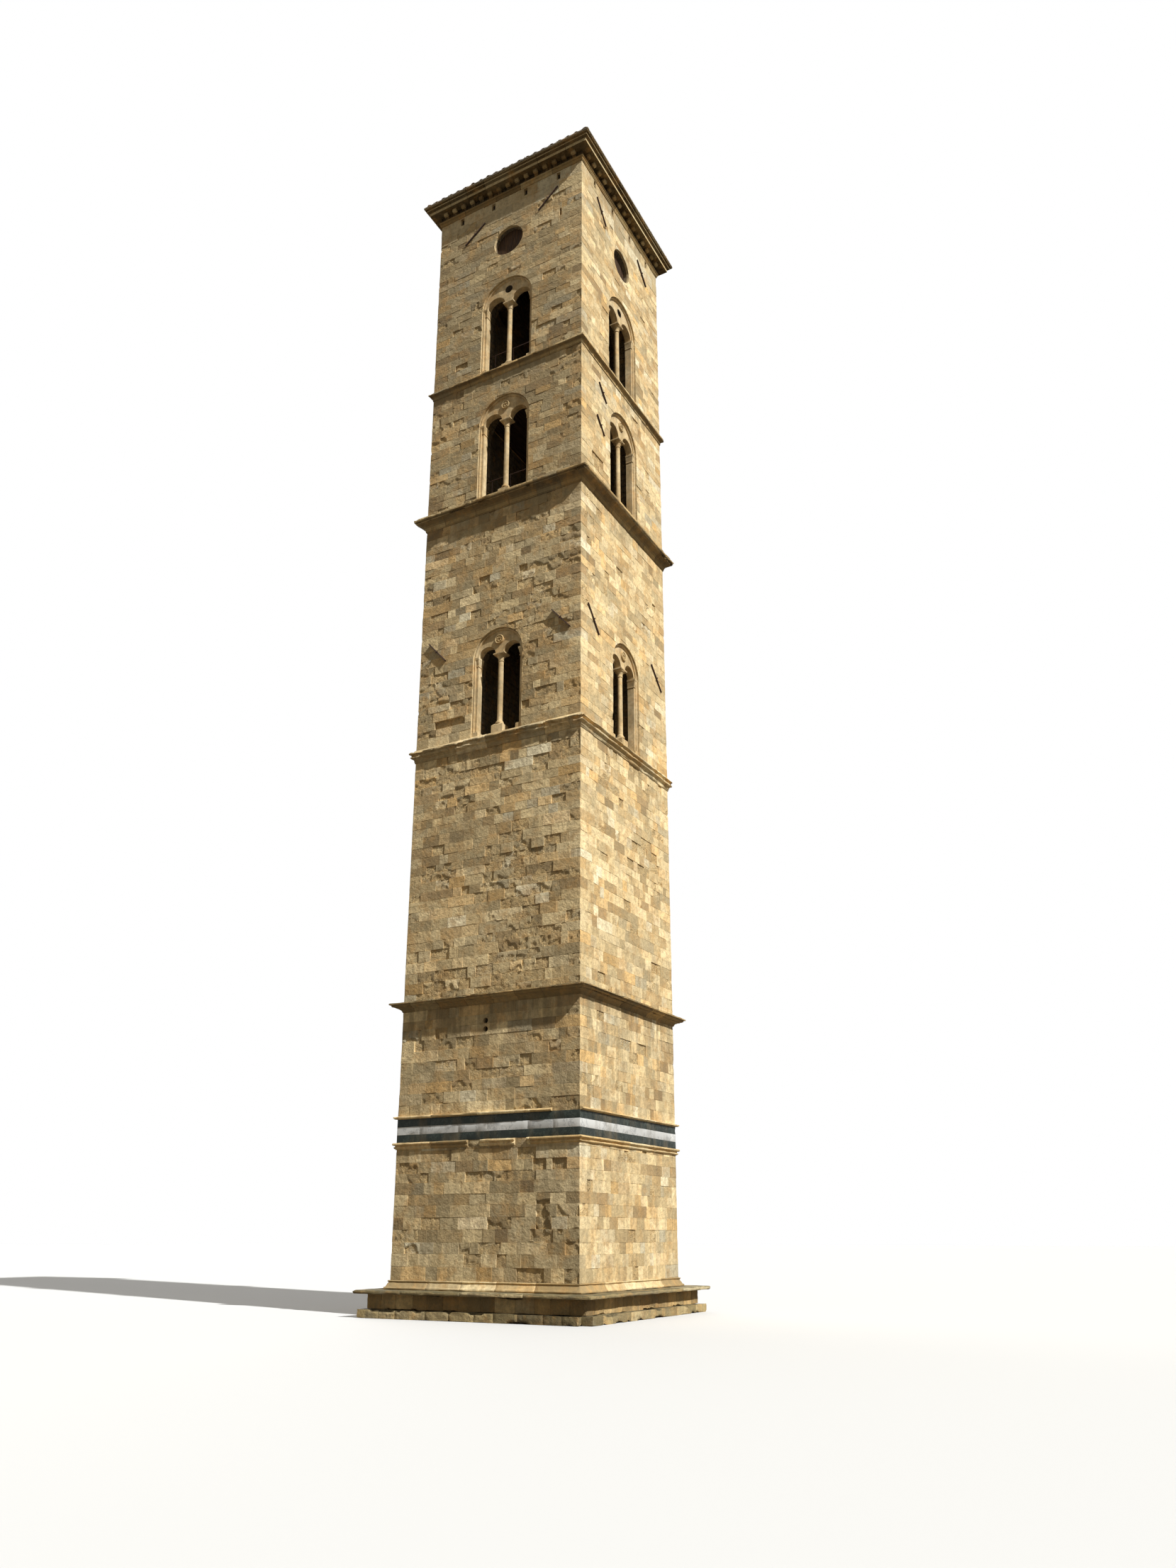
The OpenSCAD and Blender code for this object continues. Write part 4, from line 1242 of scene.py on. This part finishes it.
# Rosettes between the lights
def build_rosettes():
    """Flower with a roll rim, twisted petals and a sunk eye, over the middle of each lower window."""
    outline = (
        (0.15, 0.0), (0.152, 0.03), (0.145, 0.05), (0.13, 0.058), (0.117, 0.05), (0.11, 0.03),
        (0.095, 0.034), (0.07, 0.048), (0.045, 0.046), (0.03, 0.03), (0.018, 0.012), (0, 0.01),
    )
    flowers = []
    for z in ROSETTE_Z:
        for side in range(4):
            bm = lathed([(r, -d, 0) for r, d in outline], (0, 1, 0), 48)
            for vert in bm.verts:
                r, angle = math.hypot(vert.co.x, vert.co.z), math.atan2(vert.co.z, vert.co.x)
                if 0.035 < r < 0.112:
                    vert.co.y += 0.013 * math.cos(8 * angle + 30 * r)
            turned(bm, to_side(side) @ Matrix.Translation((0, ROSETTE_Y, z)))
            paint(bm, (0.3, 0.0, 0.0, 0.4))
            flowers.append(bm)
    finished(joined(flowers), "window_rosettes", [moulded_stone], sharp=50)


build_rosettes()

# Finishes of the CAD nodes that show as they are
FINISHES = {
    dressed_stone: [*(f"{side}_arch_plates" for side in SIDES), "window_jambs", "window_columns"],
    old_iron: ["wall_anchors", "window_railings"],
    floor_timber: ["timber_floors"],
    deck_mortar: ["roof_deck"],
}
for finish, nodes in FINISHES.items():
    for node in nodes:
        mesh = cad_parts[node].data
        mesh.materials.clear()
        mesh.materials.append(finish)


# Floor, light and camera
def seen_ray(n):
    """1 for what the camera sees, straight or in a mirror or through glass."""
    rays = n.add("LightPath")
    seen = n.maths("MAXIMUM", rays["Is Camera Ray"], rays["Is Glossy Ray"])
    return n.maths("MAXIMUM", seen, rays["Is Transmission Ray"])


def build_stage():
    """Floor that is pale to the camera and dark to bounced light."""
    bm = bmesh.new()
    bmesh.ops.create_grid(bm, x_segments=1, y_segments=1, size=300.0)
    floor = shown("studio_floor", as_mesh(bm, "studio_floor"))
    material = bpy.data.materials.new("studio_floor")
    material.use_nodes = True
    n = Nodes(material.node_tree)
    colour = n.mix(seen_ray(n), (0.075, 0.06, 0.04, 1), (0.74, 0.74, 0.73, 1))
    n.plug(n.tree.nodes["Principled BSDF"], {"Base Color": colour, "Roughness": 0.95})
    floor.data.materials.append(material)
    floor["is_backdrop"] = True


def lamp_from(name, direction, energy, angle, color):
    """A sun lamp that shines from the given direction."""
    sun = bpy.data.lights.new(name, "SUN")
    sun.energy, sun.angle, sun.color = energy, math.radians(angle), color
    lamp = shown(name, sun)
    lamp.rotation_mode = "QUATERNION"
    lamp.rotation_quaternion = Vector(direction).to_track_quat("Z", "Y")


def build_light():
    """Sun from the front right, a soft fill from behind, and a world that is white to the camera."""
    lamp_from("key", (0.69, -0.22, 0.69), 4.45, 1.0, (1.0, 1.0, 0.99))
    lamp_from("fill", (-0.7, 0.62, 0.3), 1.1, 60.0, (0.97, 0.98, 1.0))
    world = bpy.data.worlds.new("studio")
    bpy.context.scene.world = world
    world.use_nodes = True
    n = Nodes(world.node_tree)
    n.tree.nodes.clear()
    soft = n.add("Background", {"Color": (1.0, 0.94, 0.82, 1), "Strength": 0.22})
    white = n.add("Background", {"Color": (1, 1, 1, 1), "Strength": 1.0})
    both = n.add("MixShader", {0: seen_ray(n), 1: soft[0], 2: white[0]})
    n.add("OutputWorld", {"Surface": both[0]})


def build_camera():
    """Camera solved from the photo: 1.96 m over the ground, looking up at the front right corner."""
    camera = bpy.data.cameras.new("camera")
    camera.lens, camera.sensor_width, camera.sensor_fit = 26.64, 36.0, "AUTO"
    camera.shift_y = 0.05
    camera.clip_end = 500.0
    view = shown("camera", camera)
    view.location = (17.30, -28.69, 1.96)
    view.rotation_euler = (math.radians(90 + 17.94), 0.0, math.radians(28.82))
    bpy.context.scene.camera = view


build_stage()
build_light()
build_camera()
bpy.context.scene.view_settings.view_transform = "Standard"

boxes = {"cad": cad_box, "visual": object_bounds()}
{name: [list(corner) for corner in box] for name, box in boxes.items()}
